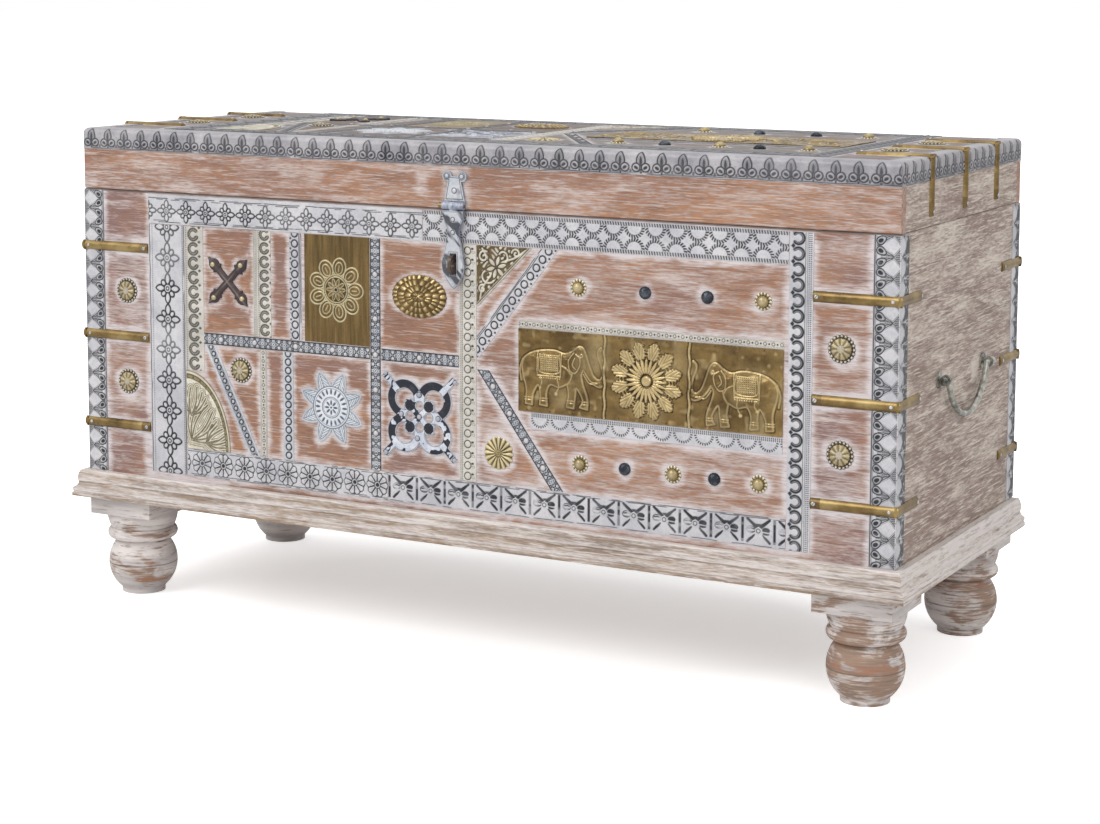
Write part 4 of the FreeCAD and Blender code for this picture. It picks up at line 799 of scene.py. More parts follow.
def chain(s, t, middle, pitch, reach, wide=2.0, leaf_at=None, lines=()):
    """Dark rings in a row, with a small leaf at one side of each and plain lines beside them."""
    x, y = t - middle, beat(s, pitch, pitch / 2)
    far = np.hypot(x, y) - reach
    ink = stroke(far, wide)
    lift = soft(far + 1.2, 1.0)
    if leaf_at is not None:
        leaf = np.hypot(t - leaf_at, beat(s, pitch, 0)) - 1.5
        ink = most(ink, soft(leaf, 0.4) * 0.95)
        twig = run(x * np.sign(leaf_at - middle), y, (reach * 0.8, 0), (reach + 2.6, 2.0))
        ink = most(ink, soft(twig - 0.5, 0.35) * 0.8)
    for at, seed in lines:
        ink = most(ink, broken(s, t, at, 1.0, seed, 18, 0.2))
    return ink, lift


def boxed_chain(s, t):
    """A chain of small rings with a square round each gap."""
    ink, lift = chain(s, t, middle=7.6, pitch=9.6, reach=3.0, wide=1.8)
    box_ = most(abs(beat(s, 9.6, 4.8)), abs(t - 7.6)) - 4.1
    return most(ink, stroke(box_, 0.8) * 0.8), lift


def filigree(s, t, wide=15.0, nails=()):
    """Fine diamonds and four-petalled flowers by turns between dark edges, with domed nails."""
    x, y = beat(s, 8.4), t - wide / 2
    even = np.floor((s + 4.2) / 8.4).astype(int) % 2 == 0
    px, py = fold(x, y, 4, math.pi / 4)
    flower = soft(egg(px - 2.1, py, 1.7, 1.0), 0.3)
    ring = most(stroke(abs(x) + abs(y) - 3.6, 0.9), soft(np.hypot(x, y) - 0.9))
    ink = np.where(even, flower, ring)
    corner = np.hypot(abs(x) - 3.9, abs(y) - 4.3)
    ink = most(
        ink, stroke(corner - 1.4, 1.25), soft(corner - 0.6) * 0.8,
        soft(abs(abs(x) - 3.9) - 0.5) * soft(abs(y) - 2.2) * 0.8, dotted(s, t, 2.6, 2.1, 0.5) * 0.7,
        dotted(s, t, wide - 2.6, 2.1, 0.5) * 0.7, stroke(t - 0.8, 1.8), stroke(t - wide + 0.8, 1.8),
    )
    lift = np.zeros(s.shape)
    for at in nails:
        far = np.hypot(s - at, t - wide / 2)
        ink = np.where(far < 4.4, soft(abs(far - 3.9) - 0.5), ink)
        lift = most(lift, dome(far, 3.5) * 2.6)
    return ink, lift


def scroll_rings(s, t):
    """Rings with a small leaf each, beside fine lines of dots."""
    y = beat(s, 13.3, 6)
    far = np.hypot(t - 11.8, y) - 4.6
    ink = most(
        stroke(far, 1.3), soft(egg(t - 18.6, beat(s, 13.3, 8.5), 1.9, 1.4), 0.4),
        stroke(egg(t - 20.0, beat(s, 13.3, 4.5), 2.0, 1.3), 0.6) * 0.7,
    )
    for at, size in ((1.6, 0.5), (4.6, 0.65)):
        ink = most(ink, dotted(s, t, at, 2.2, size))
    ink = most(ink, stroke(t - 3.1, 0.5) * 0.6)
    return ink, soft(far + 1.4, 1.0)


def lace(s, t):
    """Two rows of short dashes with dashed half rounds hanging below them, seen from the lower edge up."""
    ink = np.zeros(s.shape)
    for at in (17.9, 15.4):
        ink = most(ink, dashed(s, t, at, 2.5, 1.2, 2.0))
    x, y = beat(s, 27.2, 12), 14.0 - t
    reach, angle = np.hypot(x, y), np.arctan2(y, x)
    teeth = soft(abs(beat(angle, math.pi / 12, math.pi / 24)) * reach - 0.75, 0.3)
    return most(ink, soft(abs(reach - 11.2) - 1.6, 0.4) * teeth * (y > -0.4)), ink * 0


def beads(s, t, wide=9.0):
    """A narrow strip of small rings and dark dots by turns."""
    y = t - wide / 2
    even = np.floor((s + 2.6) / 5.2).astype(int) % 2 == 0
    far = np.hypot(beat(s, 5.2), y)
    ink = most(
        np.where(even, stroke(far - 1.9, 0.8), soft(far - 1.2)), dotted(s, t, 1.2, 1.9, 0.5) * 0.8,
        dotted(s, t, wide - 1.2, 1.9, 0.5) * 0.8,
    )
    return ink, soft(far - 1.8, 0.8) * 0.5


def lotus(s, t, start):
    """Lotus buds in a row: two round lobes with a kernel in each and a tall pointed bud between them."""
    pitch = 27.0
    x = beat(s, pitch, start)
    side = abs(x)
    lobe = egg(side - 6.2, t - 8.6, 5.3, 4.9)
    kernel = egg((side - 6.0) * 0.85 + (t - 8.4) * 0.5, (t - 8.4) * 0.85 - (side - 6.0) * 0.5, 3.1, 1.9)
    leaf = almond(t - 16.4, x, 10.4, 5.6)
    core = almond(t - 15.8, x, 6.8, 2.0)
    out = lobe > -0.1
    ink = most(
        stroke(leaf, 1.9) * out, stroke(lobe, 1.9), soft(kernel, 0.4), soft(core, 0.5) * (lobe > 0.5) * 0.95,
        stroke(leaf + 2.0, 0.7) * (lobe > 0.4) * 0.6, soft(leaf + 2.0, 0.6) * (lobe > 0.6) * 0.35,
    )
    neck = run(side, t, (0.3, 1.8), (1.4, 7.0))
    ink = most(
        ink, soft(neck - 0.6, 0.3), soft(egg(beat(s, pitch, start + pitch / 2), t - 4.4, 1.6, 2.2)) * 0.8,
        broken(s, t, 1.2, 1.2, 6, 22, 0.18), broken(s, t, 3.0, 0.8, 7, 16, 0.35),
    )
    return ink, most(soft(lobe + 0.5, 1.0), soft(leaf + 0.5, 1.0))


def crown(s, t):
    """The corner angles' motif: kernels in heart-shaped loops, a long lined spike, and lines that cross and part."""
    x = beat(s, 24.7, 8.0)
    side = abs(x)
    lean = 0.5
    a, b = side - 5.9, t - 9.4
    along, over = b * math.cos(lean) - a * math.sin(lean), a * math.cos(lean) + b * math.sin(lean)
    swell = 1 - 0.3 * along / 6.5
    loop = egg(along + 0.6, over / np.clip(swell, 0.4, 1.6), 6.0, 4.1)
    kernel = egg(along + 1.4, over / np.clip(swell, 0.4, 1.6), 3.6, 2.3)
    ink = most(stroke(loop, 1.5), stroke(loop + 1.6, 0.7) * 0.55, soft(kernel, 0.4))
    waist = np.interp(t, (8.0, 11.0, 15.0, 19.0, 23.0), (0.6, 3.6, 2.9, 1.5, 0.5))
    spike = most(side - waist, abs(t - 15.5) - 7.5)
    outside = loop > 0.4
    ink = most(ink, stroke(side - waist, 1.0) * (abs(t - 15.5) < 7.5) * outside)
    lines_ = 0.1 + 0.8 * soft(abs(beat(side, 2.3, 1.15)) - 0.45, 0.3)
    ink = most(ink, soft(spike, 0.4) * outside * lines_)
    sweep = 10.6 - 9.6 * unit((t - 11.0) / 12.5) ** 0.6
    ink = most(
        ink, stroke(side - sweep, 1.3) * ((t > 12) & (t < 23.5)) * 0.95,
        stroke(side - sweep - 1.9, 0.6) * ((t > 14) & (t < 24)) * 0.6,
        soft(egg(side - 12.0, t - 5.6, 0.9, 2.4), 0.4) * 0.85,
        soft(side - sweep + 1.2, 0.5) * ((t > 14) & (t < 23.5)) * outside * (
            0.3 + 0.35 * soft(abs(beat(t - side, 2.4)) - 0.5, 0.3)
        ),
    )
    part = abs(t - 23.5) * 1.15
    ink = most(ink, stroke(side - part, 1.4) * (t > 21), stroke(side - part - 2.3, 0.9) * (t > 23.5) * 0.8)
    inner = soft(side - part + 1.0, 0.4) * (t > 25)
    ink = most(
        ink, inner * (0.4 + 0.5 * soft(abs(beat(side, 2.2)) - 0.6, 0.3)), stroke(t - 1.1, 1.5) * 0.95,
        stroke(t - 3.0, 0.7) * 0.8,
    )
    return ink, soft(loop + 0.5, 1.0)


def vine(s, t, wide=29):
    """The angles' side leaf: pale lens shapes between crossed lines, and a dark speckled band at the far edge."""
    x = beat(s, 24.7, 8.0)
    side = abs(x)
    lens = unit((side - 1.0) / 11.4)
    reach = 6.5 + 10.5 * np.sin(lens * math.pi / 2) ** 0.8
    dark = soft(reach - t, 0.7)
    fleck = patch(s, t, 3.2, 5)
    ink = most(
        dark * unit(1.25 - unit(fleck * 2.6 - 1.3)) * 0.9, stroke(t - reach, 1.0),
        stroke(t - reach + 2.2, 0.7) * 0.6, stroke(side - 0.9 * abs(t - 4.5) - 0.4, 0.9) * (t < 9),
    )
    rib = stroke(side - 0.12 * (t - 12), 1.0) * (t > 9) * 0.8
    ink = unit(ink - rib * dark)
    return most(ink, stroke(t - wide + 1.0, 1.2) * 0.7), (1 - dark) * 0.4


def sheet_look(ink, lift):
    """The height and the marks of a sheet from its dark lines and its raised shapes."""
    return pressed(ink, lift), {"ink": ink, "wash": np.clip(lift - 1.1, 0, 0.8)}


def along_u(motif, u_0, v_0, **more):
    """The motif laid along the face's U from a corner."""
    return lambda u, v: sheet_look(*motif(u - u_0, v - v_0, **more))


def along_v(motif, u_0, v_0, **more):
    """The motif laid along the face's V, with its across direction towards U."""
    return lambda u, v: sheet_look(*motif(v - v_0, u - u_0, **more))


def along_line(motif, start, end, **more):
    """The motif laid along a slanted line on the face, with its across direction to the line's right."""
    way = np.array(end, float) - np.array(start, float)
    way /= np.linalg.norm(way)
    right = np.array((way[1], -way[0]))

    def made(u, v):
        x, y = u - start[0], v - start[1]
        return sheet_look(*motif(x * way[0] + y * way[1], x * right[0] + y * right[1], **more))

    return made


def polygon(corners):
    """Distance outside a convex polygon, whose corners go round counter-clockwise."""
    c = np.array(corners, float)

    def edge(u, v):
        far = np.full(u.shape, -1e6)
        for a, b in zip(c, np.roll(c, -1, 0)):
            way = (b - a) / np.linalg.norm(b - a)
            far = most(far, (u - a[0]) * way[1] - (v - a[1]) * way[0])
        return far

    return edge


# Looks of the embossed sheets


def embossed(name, grounds, ink, wash, metallic=0.15, rough=0.5, speckle=0.35, brushed=(1, 1, 1), least=0.8):
    """A sheet in two ground tones, with dark marks and a pale wash where the mesh says so. On the elephant, oval,
    cross, stud and screw sheets the pale wash is a painted highlight, and some dark marks are painted shade.
    """
    made, web = material(name, Metallic=metallic)
    field = web.noise(web.scaled(*brushed, shift=(1, 2, 3)), 22, 5, 0.68)
    tone = web.mix(web.span(field, 0.36, 0.64), grounds[0], grounds[1])
    grit = web.noise(web.scaled(1, 1, 1, shift=(5, 0, 2)), 420, 3, 0.7)
    tone = web.mix(web.span(grit, 0.5, 0.72, 0, speckle), tone, grounds[2])
    rub = web.noise(web.scaled(1, 1, 1, shift=(2, 6, 1)), 70, 4, 0.7)
    share = web.math("MULTIPLY", web.attribute("ink"), web.span(rub, 0.3, 0.46, least, 1.0))
    tone = web.mix(share, tone, ink)
    tone = web.mix(web.math("MULTIPLY", web.attribute("wash"), web.span(rub, 0.35, 0.6, 1.0, 0.6)), tone, wash)
    web.out("Base Color", tone)
    web.out("Roughness", web.span(field, 0.3, 0.7, rough - 0.08, rough + 0.12))
    web.bump(web.total((grit, 0.3), (field, 0.7)), 0.0004, 0.4)
    return made


CREAM = linear(226, 222, 208)
silver = embossed("silver_emboss", tones("b2b2b7", "cccacd", "88858b"), linear(28, 32, 38), WASH)
# The lid's copy of the strips' silver, painted darker as painted shade on the lid's top
lid_shaded_silver = embossed("lid_shaded_silver_emboss", tones("626268", "848284", "424046"), linear(26, 29, 36), WASH)
creamy = embossed("cream_emboss", tones("b8b4ac", "cecac2", "8c826e"), linear(50, 45, 34), CREAM)
bluish = embossed("blue_emboss", tones("acb0b8", "ccced2", "70727c"), linear(20, 23, 30), WASH)
# Its pale colour is the painted highlight on the elephant and oval reliefs
gilded = embossed(
    "gilded_emboss", tones("624d2c", "8e7548", "4e3c22"), linear(46, 33, 19), linear(222, 200, 150), 0.75, 0.32, 0.35,
)
plain_gilt = embossed(
    "plate_emboss", tones("5c4928", "826a40", "48371f"), linear(48, 38, 24), linear(216, 206, 168), 0.6, 0.4, 0.35,
    (9, 1, 0.5),
)
pale_gilt = embossed("pale_gilt_emboss", tones("928868", "7c6e4a", "5e5030"), linear(60, 48, 28), CREAM, 0.3, 0.45)
dark_gilt = embossed("dark_gilt_emboss", tones("786642", "625030", "4a3a22"), linear(46, 36, 22), CREAM, 0.3, 0.45)

# The scheme of sheets on the front and the lid


def lay_strips(plan):
    """The borders and narrow strips of one face."""
    low, high = plan.low, plan.high
    c_0, c_1 = plan.cross_strip

    def lay(name, kind, place, motif, look, way=along_u, edge=None, **more):
        node = plan.strip_nodes[kind]
        if way:
            motif = way(motif, *place[:2], **more)
        emboss(plan.tag + name, place, motif, plan.face, plan.body, node, look, edge, plan.strip_step)

    silver_, bluish_ = plan.silver, plan.bluish
    lay("side_border", "left", (105, low - 37, 162, high), side_border, silver_, along_v)
    lay("blossom_border", "top", (105, high + 1, 524.5, high + 39), blossom_border, silver_)
    lay("lattice_border", "top", (525.5, high + 1, 1011, high + 39), lattice, silver_)
    lay("daisy_border", "bottom", (163, low - 37, 472.5, low - 1), daisy_border, silver_)
    lay("cross_border", "bottom", (473.5, low - 37, 1011, low - 1), cross_border, silver_)
    lay("horseshoe_border", "right", (1012, low - 37, 1041, high + 39), horseshoe_border, silver_, along_v)
    lay("beaded_strip", "beaded", (163, low + plan.bead_rise, 192, high), beaded, creamy, along_v)
    lay("beaded_strip_2", "beaded", (271, c_1 + 1, 298, high), lined_beads, creamy, along_v)
    lay("bead_slip", "beaded", (280, low, 290, c_0 - 1), beads, creamy, along_v, wide=10.0)
    lay("bead_line", "beaded", plan.bead_line, beads, creamy)
    lay("lace", "lace", (677.7, plan.lace_foot, 1006, plan.lace_foot + 20), lace, silver_)
    ring = {"middle": 8.0, "pitch": 13.0, "reach": 4.6, "leaf_at": 1.8, "lines": ((14.6, 3), (16.8, 4))}
    lay("chain_high", "chain", (327, c_1 + 1, 345, high), chain, silver_, along_v, **ring)
    ring = {"middle": 7.5, "pitch": 11.0, "reach": 4.2}
    lay("chain_low", "chain", (316, low, 331, c_0 - 1), chain, bluish_, along_v, **ring)
    corners = [(262, low), (279, low), (210, c_0 - 1), (193, c_0 - 1)]
    leaning = along_line(boxed_chain, corners[0], corners[3])
    lay("leaning_chain", "chain", (193, low, 279, c_0 - 1), leaning, bluish_, None, polygon(corners))
    foot, foot_end, head, head_end, wall, sill = 581.1, 605.1, 689.9, 713.9, 602, c_1 + 0.2
    cut_at = sill + (wall - foot) / ((head - foot) / (high - c_1 - 0.2))
    corners = [(wall, sill), (foot_end, sill), (head_end, high), (head, high), (wall, cut_at)]
    ring = {"middle": 10.0, "pitch": 13.4, "reach": 4.5, "leaf_at": 16.6, "lines": ((1.4, 3), (3.2, 4))}
    rising = along_line(chain, (foot, sill), (head, high), **ring)
    lay("upper_slant", "chain", (wall, sill, head_end, high), rising, silver_, None, polygon(corners))
    corners = [(705.1, low), (722.1, low), (619, c_0), (602, c_0)]
    falling = along_line(filigree, corners[0], corners[3], wide=13.7, nails=(28, 67, 106, 145))
    lay("lower_slant", "filigree", (602, low, 722.1, c_0), falling, bluish_, None, polygon(corners))
    lay("cross_strip", "filigree", (192, c_0, 447, c_1), filigree, bluish_, nails=(27, 80, 143.5, 199.5))
    lay("cross_strip_2", "filigree", (464, c_0, 576, c_1), filigree, bluish_, nails=(56,))
    nails = [(high - low) * x for x in (0.16, 0.348, 0.5, 0.655, 0.846)]
    lay("post_strip", "filigree", (448, low, 463, high), filigree, bluish_, along_v, nails=nails)
    lay("scroll_rings", "scroll", (577, low, 601, high), scroll_rings, creamy, along_v)


# What the front and the lid have: levels in millimetres, looks, places and the CAD nodes that the sheets stand for
FRONT_PLAN = SimpleNamespace(
    face=FRONT, body="chest", tag="", low=215, cross_strip=(355.1, 370.1), high=508, strip_step=0.62, plate_step=0.8,
    silver=silver, bluish=bluish, bead_rise=104.1, bead_line=(660.5, 411.4, 1006, 420.4), lace_foot=288.6,
    elephants=(660.5, 309.6, 1006, 410.4), oval=(519.95, 439.55), oval_slot="aged_brass", star=(389.5, 288.7),
    fret=(520.0, 288.7), iron_cross=(231.5, 439.5), sun=(632.5, 253.7), rosette_rows=(295.4, 417.0),
    nook=(250.0, 325.0),
    brass_at=((741.5, 464.6), (979.9, 464.6), (744.7, 251.6), (867.9, 251.6), (977.1, 251.6)),
    iron_at=((829.8, 464.6), (910.0, 464.6), (804.5, 251.6), (921.0, 251.6)),
    strip_nodes={
        "left": "left_border", "right": "right_border", "top": "top_borders", "bottom": "bottom_borders",
        "beaded": "beaded_strips", "chain": "chain_strips", "filigree": "filigree_strips", "scroll": "scroll_strip",
        "lace": "lace_strip",
    },
    plate_nodes={
        "flower": "flower_plate", "elephants": "elephant_panel", "fan": "peacock_plate",
        "floral": "floral_corner_plate", "oval": "oval_medallion", "star": "star_medallion",
        "fret": "fretwork_medallion", "rosettes": "rosettes", "brass": "brass_studs", "iron": "iron_studs",
        "cross": "iron_cross",
    },
)
LID_PLAN = SimpleNamespace(
    face=TOP, body="lid", tag="lid_", low=-140, cross_strip=(12, 27), high=178, strip_step=1.05, plate_step=1.05,
    silver=lid_shaded_silver, bluish=lid_shaded_silver, bead_rise=112.9, bead_line=(660.5, 73.1, 1006, 82.1), lace_foot=-58.3,
    elephants=(660.5, -37.3, 1006, 72.1), oval=(520.05, 103.0), oval_slot="embossed_metal", star=(389.5, -59.95),
    fret=(520.0, -60.0), iron_cross=(231.5, 103.0), sun=(632.5, -98.05), rosette_rows=(-51.35, 78.25),
    nook=(250.0, -20.6),
    brass_at=((737, -100.2), (873.2, -100.2), (987.7, -100.2), (746.8, 130.9), (974.2, 130.9)),
    iron_at=((800, -100.2), (924.7, -100.2), (824.9, 130.9), (903.4, 130.9)),
    strip_nodes={
        kind: "lid_strips" if kind in ("beaded", "chain", "filigree") else "lid_borders"
        for kind in FRONT_PLAN.strip_nodes
    },
    plate_nodes={
        **dict.fromkeys(("flower", "elephants", "fan", "floral"), "lid_plates"),
        **dict.fromkeys(("oval", "star", "fret", "rosettes", "cross"), "lid_medallions"),
        **dict.fromkeys(("brass", "iron"), "lid_studs"),
    },
)
for plan in (FRONT_PLAN, LID_PLAN):
    lay_strips(plan)


def angles():
    """The four corner angles, laid as a flat sheet on each of the two faces at each corner of the body."""
    low, high = 171.0, 548.8

    def lay(name, face, place, across, motif, step):
        def part(u, v):
            ink, lift = motif(v - low, across(u))
            return pressed(ink, lift), {"ink": ink, "wash": ink * 0}

        area = (place[0], low, place[1], high)
        emboss(name, area, part, face, "chest", "corner_angles", silver, None, step)

    for name, face, place, turned, step in (
        ("angle_front_left", FRONT, (-1, 31), True, 0.65),
        ("angle_front_right", FRONT, (1113, 1145), False, 0.65),
        ("angle_back_left", BACK, (545, 573), False, 0.9),
        ("angle_back_right", BACK, (-573, -545), True, 0.9),
    ):
        across = (lambda u, end=place[1]: end - u) if turned else (lambda u, end=place[0]: u - end)
        lay(name, face, place, across, crown, step)
    for name, face, place in (
        ("angle_side_right_front", RIGHT, (-213, -184)),
        ("angle_side_right_back", RIGHT, (192, 221)),
        ("angle_side_left_front", LEFT, (184, 213)),
        ("angle_side_left_back", LEFT, (-221, -192)),
    ):
        lay(name, face, place, lambda u, end=place[0]: u - end, vine, 1.1)


angles()


edge_silver = embossed("edge_emboss", tones("8e8c91", "b2afb2", "626064"), linear(20, 23, 32), WASH)


def edge_strips():
    """Lotus strips folded over the lid's rounded upper edges, mitred on top."""
    side, foot = 21.0, 603
    arc = math.pi / 2 * LID_BEND
    full = side + arc + 21.0
    for name, start, way, out, length, mitre, step in (
        ("edge_front", (-572, -212), (1, 0), (0, -1), 1144, (True, True), 0.8),
        ("edge_right", (572, -212), (0, 1), (1, 0), 432, (True, False), 0.9),
        ("edge_left", (-572, 220), (0, -1), (-1, 0), 432, (False, True), 1.1),
    ):
        ns, nt = int(length / step), int(full / step)
        grid = np.meshgrid(np.linspace(0, 1, ns), np.linspace(0, full, nt), indexing="ij")
        share, t = (x.ravel() for x in grid)
        bent = np.clip((t - side) / LID_BEND, 0, math.pi / 2)
        inward = LID_BEND * (1 - np.cos(bent)) + np.clip(t - side - arc, 0, None)
        s_0 = np.where(mitre[0], inward, 0)
        s_1 = length - np.where(mitre[1], inward, 0)
        s = s_0 + share * (s_1 - s_0)
        rise = foot + np.clip(t, 0, side) + LID_BEND * np.sin(bent)
        on_top = t > side + arc + 1
        ink, lift = lotus(s, t, 13.0)
        top_ink = lotus(s, full - t, 0.0)[0] * (full - t < 4.6)
        ink = np.where(on_top, top_ink, ink)
        height = pressed(ink, np.where(on_top, 0, lift), 0.7, 0.5, 0.6)
        ink = ink * (0.75 + 0.25 * patch(s, t, 40, 3))
        normal = np.cos(bent)[:, None] * np.array([*out, 0.0]) + np.sin(bent)[:, None] * np.array([0, 0, 1.0])
        base = [start[i] + way[i] * s - out[i] * inward for i in (0, 1)]
        base = np.stack([*base, rise], 1)
        top, low = base + normal * height[:, None], base - normal * SUNK
        points, quads, marks, _ = closed(squares_between(ns, nt), len(s), top, low, {"ink": ink, "wash": ink * 0})
        piece_of(name, mesh_of(name, points, quads, marks), edge_silver, "lid", "lid_edge_strips")


edge_strips()

# Plates and medallions


def plate(face, body, name, node, place, motif, look, edge=None, step=0.8):
    """A plate whose motif takes millimetres from its lower left corner and gives height, ink and wash."""
    u_0, v_0 = place[:2]

    def made(u, v):
        height, ink, wash = motif(u - u_0, v - v_0)
        return height, {"ink": unit(ink), "wash": unit(wash)}

    return emboss(name, place, made, face, body, node, look, edge, step)


def flower_plate(wide, tall, x, y):
    """A brushed plate with one large flower of double-lined petals round a ringed heart."""
    cx, cy = x - wide * 0.49, y - tall * 0.5
    px, py = fold(cx, cy, 9, math.radians(80))
    reach = np.hypot(cx, cy)
    petal = egg(px - 29.0, py, 11.5, 9.6)
    inner = egg(px - 27.8, py, 7.6, 5.4)
    heart_x, heart_y = fold(cx, cy, 10)
    wedge = egg(heart_x - 9.4, heart_y, 4.6, 2.0)
    lines = most(
        most(stroke(petal, 1.7), stroke(inner, 1.3)) * (reach > 19.6),
        soft(most(abs(py) - 0.6, abs(px - 27.5) - 4.0)) * 0.9,
    )
    for r, w in ((18.9, 1.5), (16.4, 1.3)):
        lines = most(lines, stroke(reach - r, w))
    lines = most(lines, stroke(wedge, 0.8) * (reach < 16), stroke(reach - 3.0, 1.2))
    dark = most(
        stroke(petal + 1.6, 1.0) * 0.8 * (reach > 19.6), stroke(reach - 17.6, 1.0) * 0.8,
        soft(reach - 15.5) * soft(-wedge) * 0.7, soft(reach - 1.4),
    )
    hump = soft(petal + 2, 3) * 0.5 + soft(reach - 15, 4) * 0.5
    top_dark = unit(y / tall - 0.45) * 0.8 * patch(x, y * 0.2, 5, 8)
    dark = most(dark, top_dark * (1 - lines))
    return (
        0.6 + hump + 0.65 * lines - 0.3 * dark + 0.12 * patch(x, y, 30, 3), dark,
        lines * (0.7 + 0.3 * patch(x, y, 7, 5)),
    )


def fan_motif(wide, tall, x, y):
    """Feathered fans that rise from the lower left corner, inside a line along the curved edge."""
    shape = np.hypot(x / wide, y / tall)
    stems = []
    for ax, ay, size, lean in ((0.1, 0.1, 0.62, 50), (0.1, 0.42, 0.46, 76), (0.44, 0.08, 0.42, 24)):
        for k in range(-3, 4):
            turn_ = math.radians(lean + k * 15)
            long = size * (1 - 0.07 * abs(k)) * min(wide, tall) * 1.25
            a = (ax * wide, ay * tall)
            b = (a[0] + long * math.cos(turn_), a[1] + long * math.sin(turn_))
            bend = 0.16 * long * (1 if k > 0 else -1)
            middle = (
                (a[0] + b[0]) / 2 + bend * -math.sin(turn_) * 0.5,
                (a[1] + b[1]) / 2 + bend * math.cos(turn_) * 0.5,
            )
            stems.append([a, middle, b])
    lines = drawn(x, y, stems)
    feather = np.sin(lines * 2.6)
    rim = shape * min(wide, tall) - min(wide, tall)
    band = most(stroke(rim + 3.2, 0.9), stroke(rim + 6.6, 0.9))
    straight = least(x, y)
    band = most(band, stroke(straight - 1.2, 0.8) * (rim < -3))
    beads_ = soft(np.hypot(beat(np.arctan2(y, x) * 70, 8.5), rim + 4.9) - 0.9)
    ink = most(stroke(lines, 1.2) * 0.9, unit(feather - 0.35) * 0.75 * (rim < -7.4))
    ink = np.where(rim > -7.2, most(band, beads_), ink)
    wash = most(unit(0.62 - feather * 0.8) * (rim < -7), stroke(rim + 1.6, 1.6))
    return 0.7 + 0.4 * wash - 0.35 * ink + 0.25 * (rim > -7), ink * 0.9, wash


def spiral(cx, cy, reach, turns, start, way):
    made = []
    for i in range(int(10 * turns) + 1):
        share = i / (10 * turns)
        angle = start + way * share * turns * 2 * math.pi
        r = reach * (1 - share * 0.82)
        made.append((cx + r * math.cos(angle), cy + r * math.sin(angle)))
    return made


def floral_motif(size, x, y):
    """Scrolled leaves in a triangle, round one flower, with a line along the slanted side."""
    slant = (x - y) / math.sqrt(2)
    lines = [
        spiral(size * cx, size * cy, size * reach, turns, start, way)
        for cx, cy, reach, turns, start, way in (
            (0.2, 0.52, 0.15, 1.3, 0.3, -1), (0.47, 0.84, 0.13, 1.3, 3.6, 1), (0.13, 0.82, 0.1, 1.2, 1.0, 1),
            (0.72, 0.9, 0.08, 1.2, 3.0, -1), (0.1, 0.3, 0.07, 1.2, 1.2, 1),
        )
    ]
    lines += [
        [(size * a, size * b) for a, b in stem]
        for stem in (
            [(0.06, 0.12), (0.1, 0.3), (0.22, 0.48), (0.34, 0.66)],
            [(0.34, 0.66), (0.5, 0.76), (0.7, 0.83), (0.9, 0.96)],
            [(0.34, 0.66), (0.22, 0.78), (0.1, 0.95)],
        )
    ]
    far = drawn(x, y, lines)
    fx, fy = fold(x - size * 0.36, y - size * 0.66, 6, math.radians(-45))
    leaf = almond(fx - size * 0.11, fy, size * 0.09, size * 0.038)
    ridge = stroke(far, 2.0, 0.5)
    shade = stroke(far - 2.2, 1.3)
    feather = unit(np.sin(far * 1.9) * 0.8) * 0.7
    ink = most(shade, feather * soft(1.5 - far))
    ink = np.where(leaf < 1.2, stroke(leaf, 1.0), ink)
    wash = most(ridge, soft(leaf + 0.8))
    wash = np.where(leaf < 1.2, soft(leaf + 0.7) * 0.9, wash)
    line = abs(slant + 2.2)
    ink = np.where(slant > -3.8, stroke(line, 1.0), ink)
    wash = np.where(slant > -3.8, 0.7 * soft(-line + 0.6), wash)
    more = unit(np.sin(x * 0.55 + 2.2 * np.sin(y * 0.28)) * np.sin(y * 0.5 + 2.0 * np.sin(x * 0.24)))
    wash = most(wash, soft(0.45 - more, 0.12) * 0.85 * (slant < -4) * (far > 2.6) * (leaf > 1.5))
    return 0.6 + 0.7 * wash - 0.3 * ink, ink * 0.9, wash


ELEPHANT = {
    "body": [
        [(5, 66), (14, 72), (28, 76), (46, 77), (60, 74), (70, 78), (78, 84), (85, 82), (89, 74)],
        [(89, 74), (93, 62), (98, 51), (105, 46), (110, 52), (108, 64), (104, 74), (104, 81), (108, 85)],
        [(85, 57), (91, 48), (99, 40), (108, 38), (115, 46), (114, 60), (110, 72), (111, 81), (108, 85)],
        [(5, 66), (2, 56), (4, 44), (8, 28), (7, 10)],
        [(16, 10), (17, 22), (24, 34), (27, 22), (26, 10)],
        [(36, 10), (35, 24), (40, 35), (52, 33), (63, 38)],
        [(63, 38), (65, 24), (62, 10)],
        [(72, 10), (74, 22), (76, 34), (84, 20), (80, 11)],
        [(90, 9), (90, 22), (84, 40), (82, 50), (85, 57)],
        [(70, 52), (68, 44), (64, 38)],
        [(7, 10), (16, 9)], [(26, 10), (36, 9)], [(62, 10), (72, 9)], [(80, 11), (90, 9)],
        [(3, 64), (-1, 52), (1, 38)],
    ],
    "ear": [[(72, 76), (66, 67), (67, 55), (74, 52), (80, 60), (81, 70), (75, 75)], [(74, 70), (71, 62), (75, 57)]],
    "tusk": [[(86, 54), (94, 44), (104, 42)], [(85, 51), (93, 41), (104, 42)]],
    "cloth": [[(24, 75), (24, 48), (27, 46), (52, 46), (55, 48), (56, 74)], [(27, 72), (27, 51), (53, 51), (53, 72)]],
    "bells": [[(50, 46), (52, 34), (48, 26)], [(56, 60), (64, 56), (68, 50)], [(28, 44), (30, 38), (27, 32)]],
    "bands": [
        [(6, 15), (16, 15)], [(6, 18), (17, 18)], [(26, 15), (36, 15)], [(26, 18), (36, 18)], [(63, 15), (72, 15)],
        [(63, 18), (73, 18)], [(82, 15), (91, 15)], [(83, 18), (91, 18)],
    ],
}
# The body's outline: over the back and the trunk, and home under the trunk and along the legs
OUTLINE = ELEPHANT["body"][0] + ELEPHANT["body"][1]
OUTLINE += [corner for i in (2, 8, 7, 6, 5, 4, 3) for corner in ELEPHANT["body"][i][::-1]]


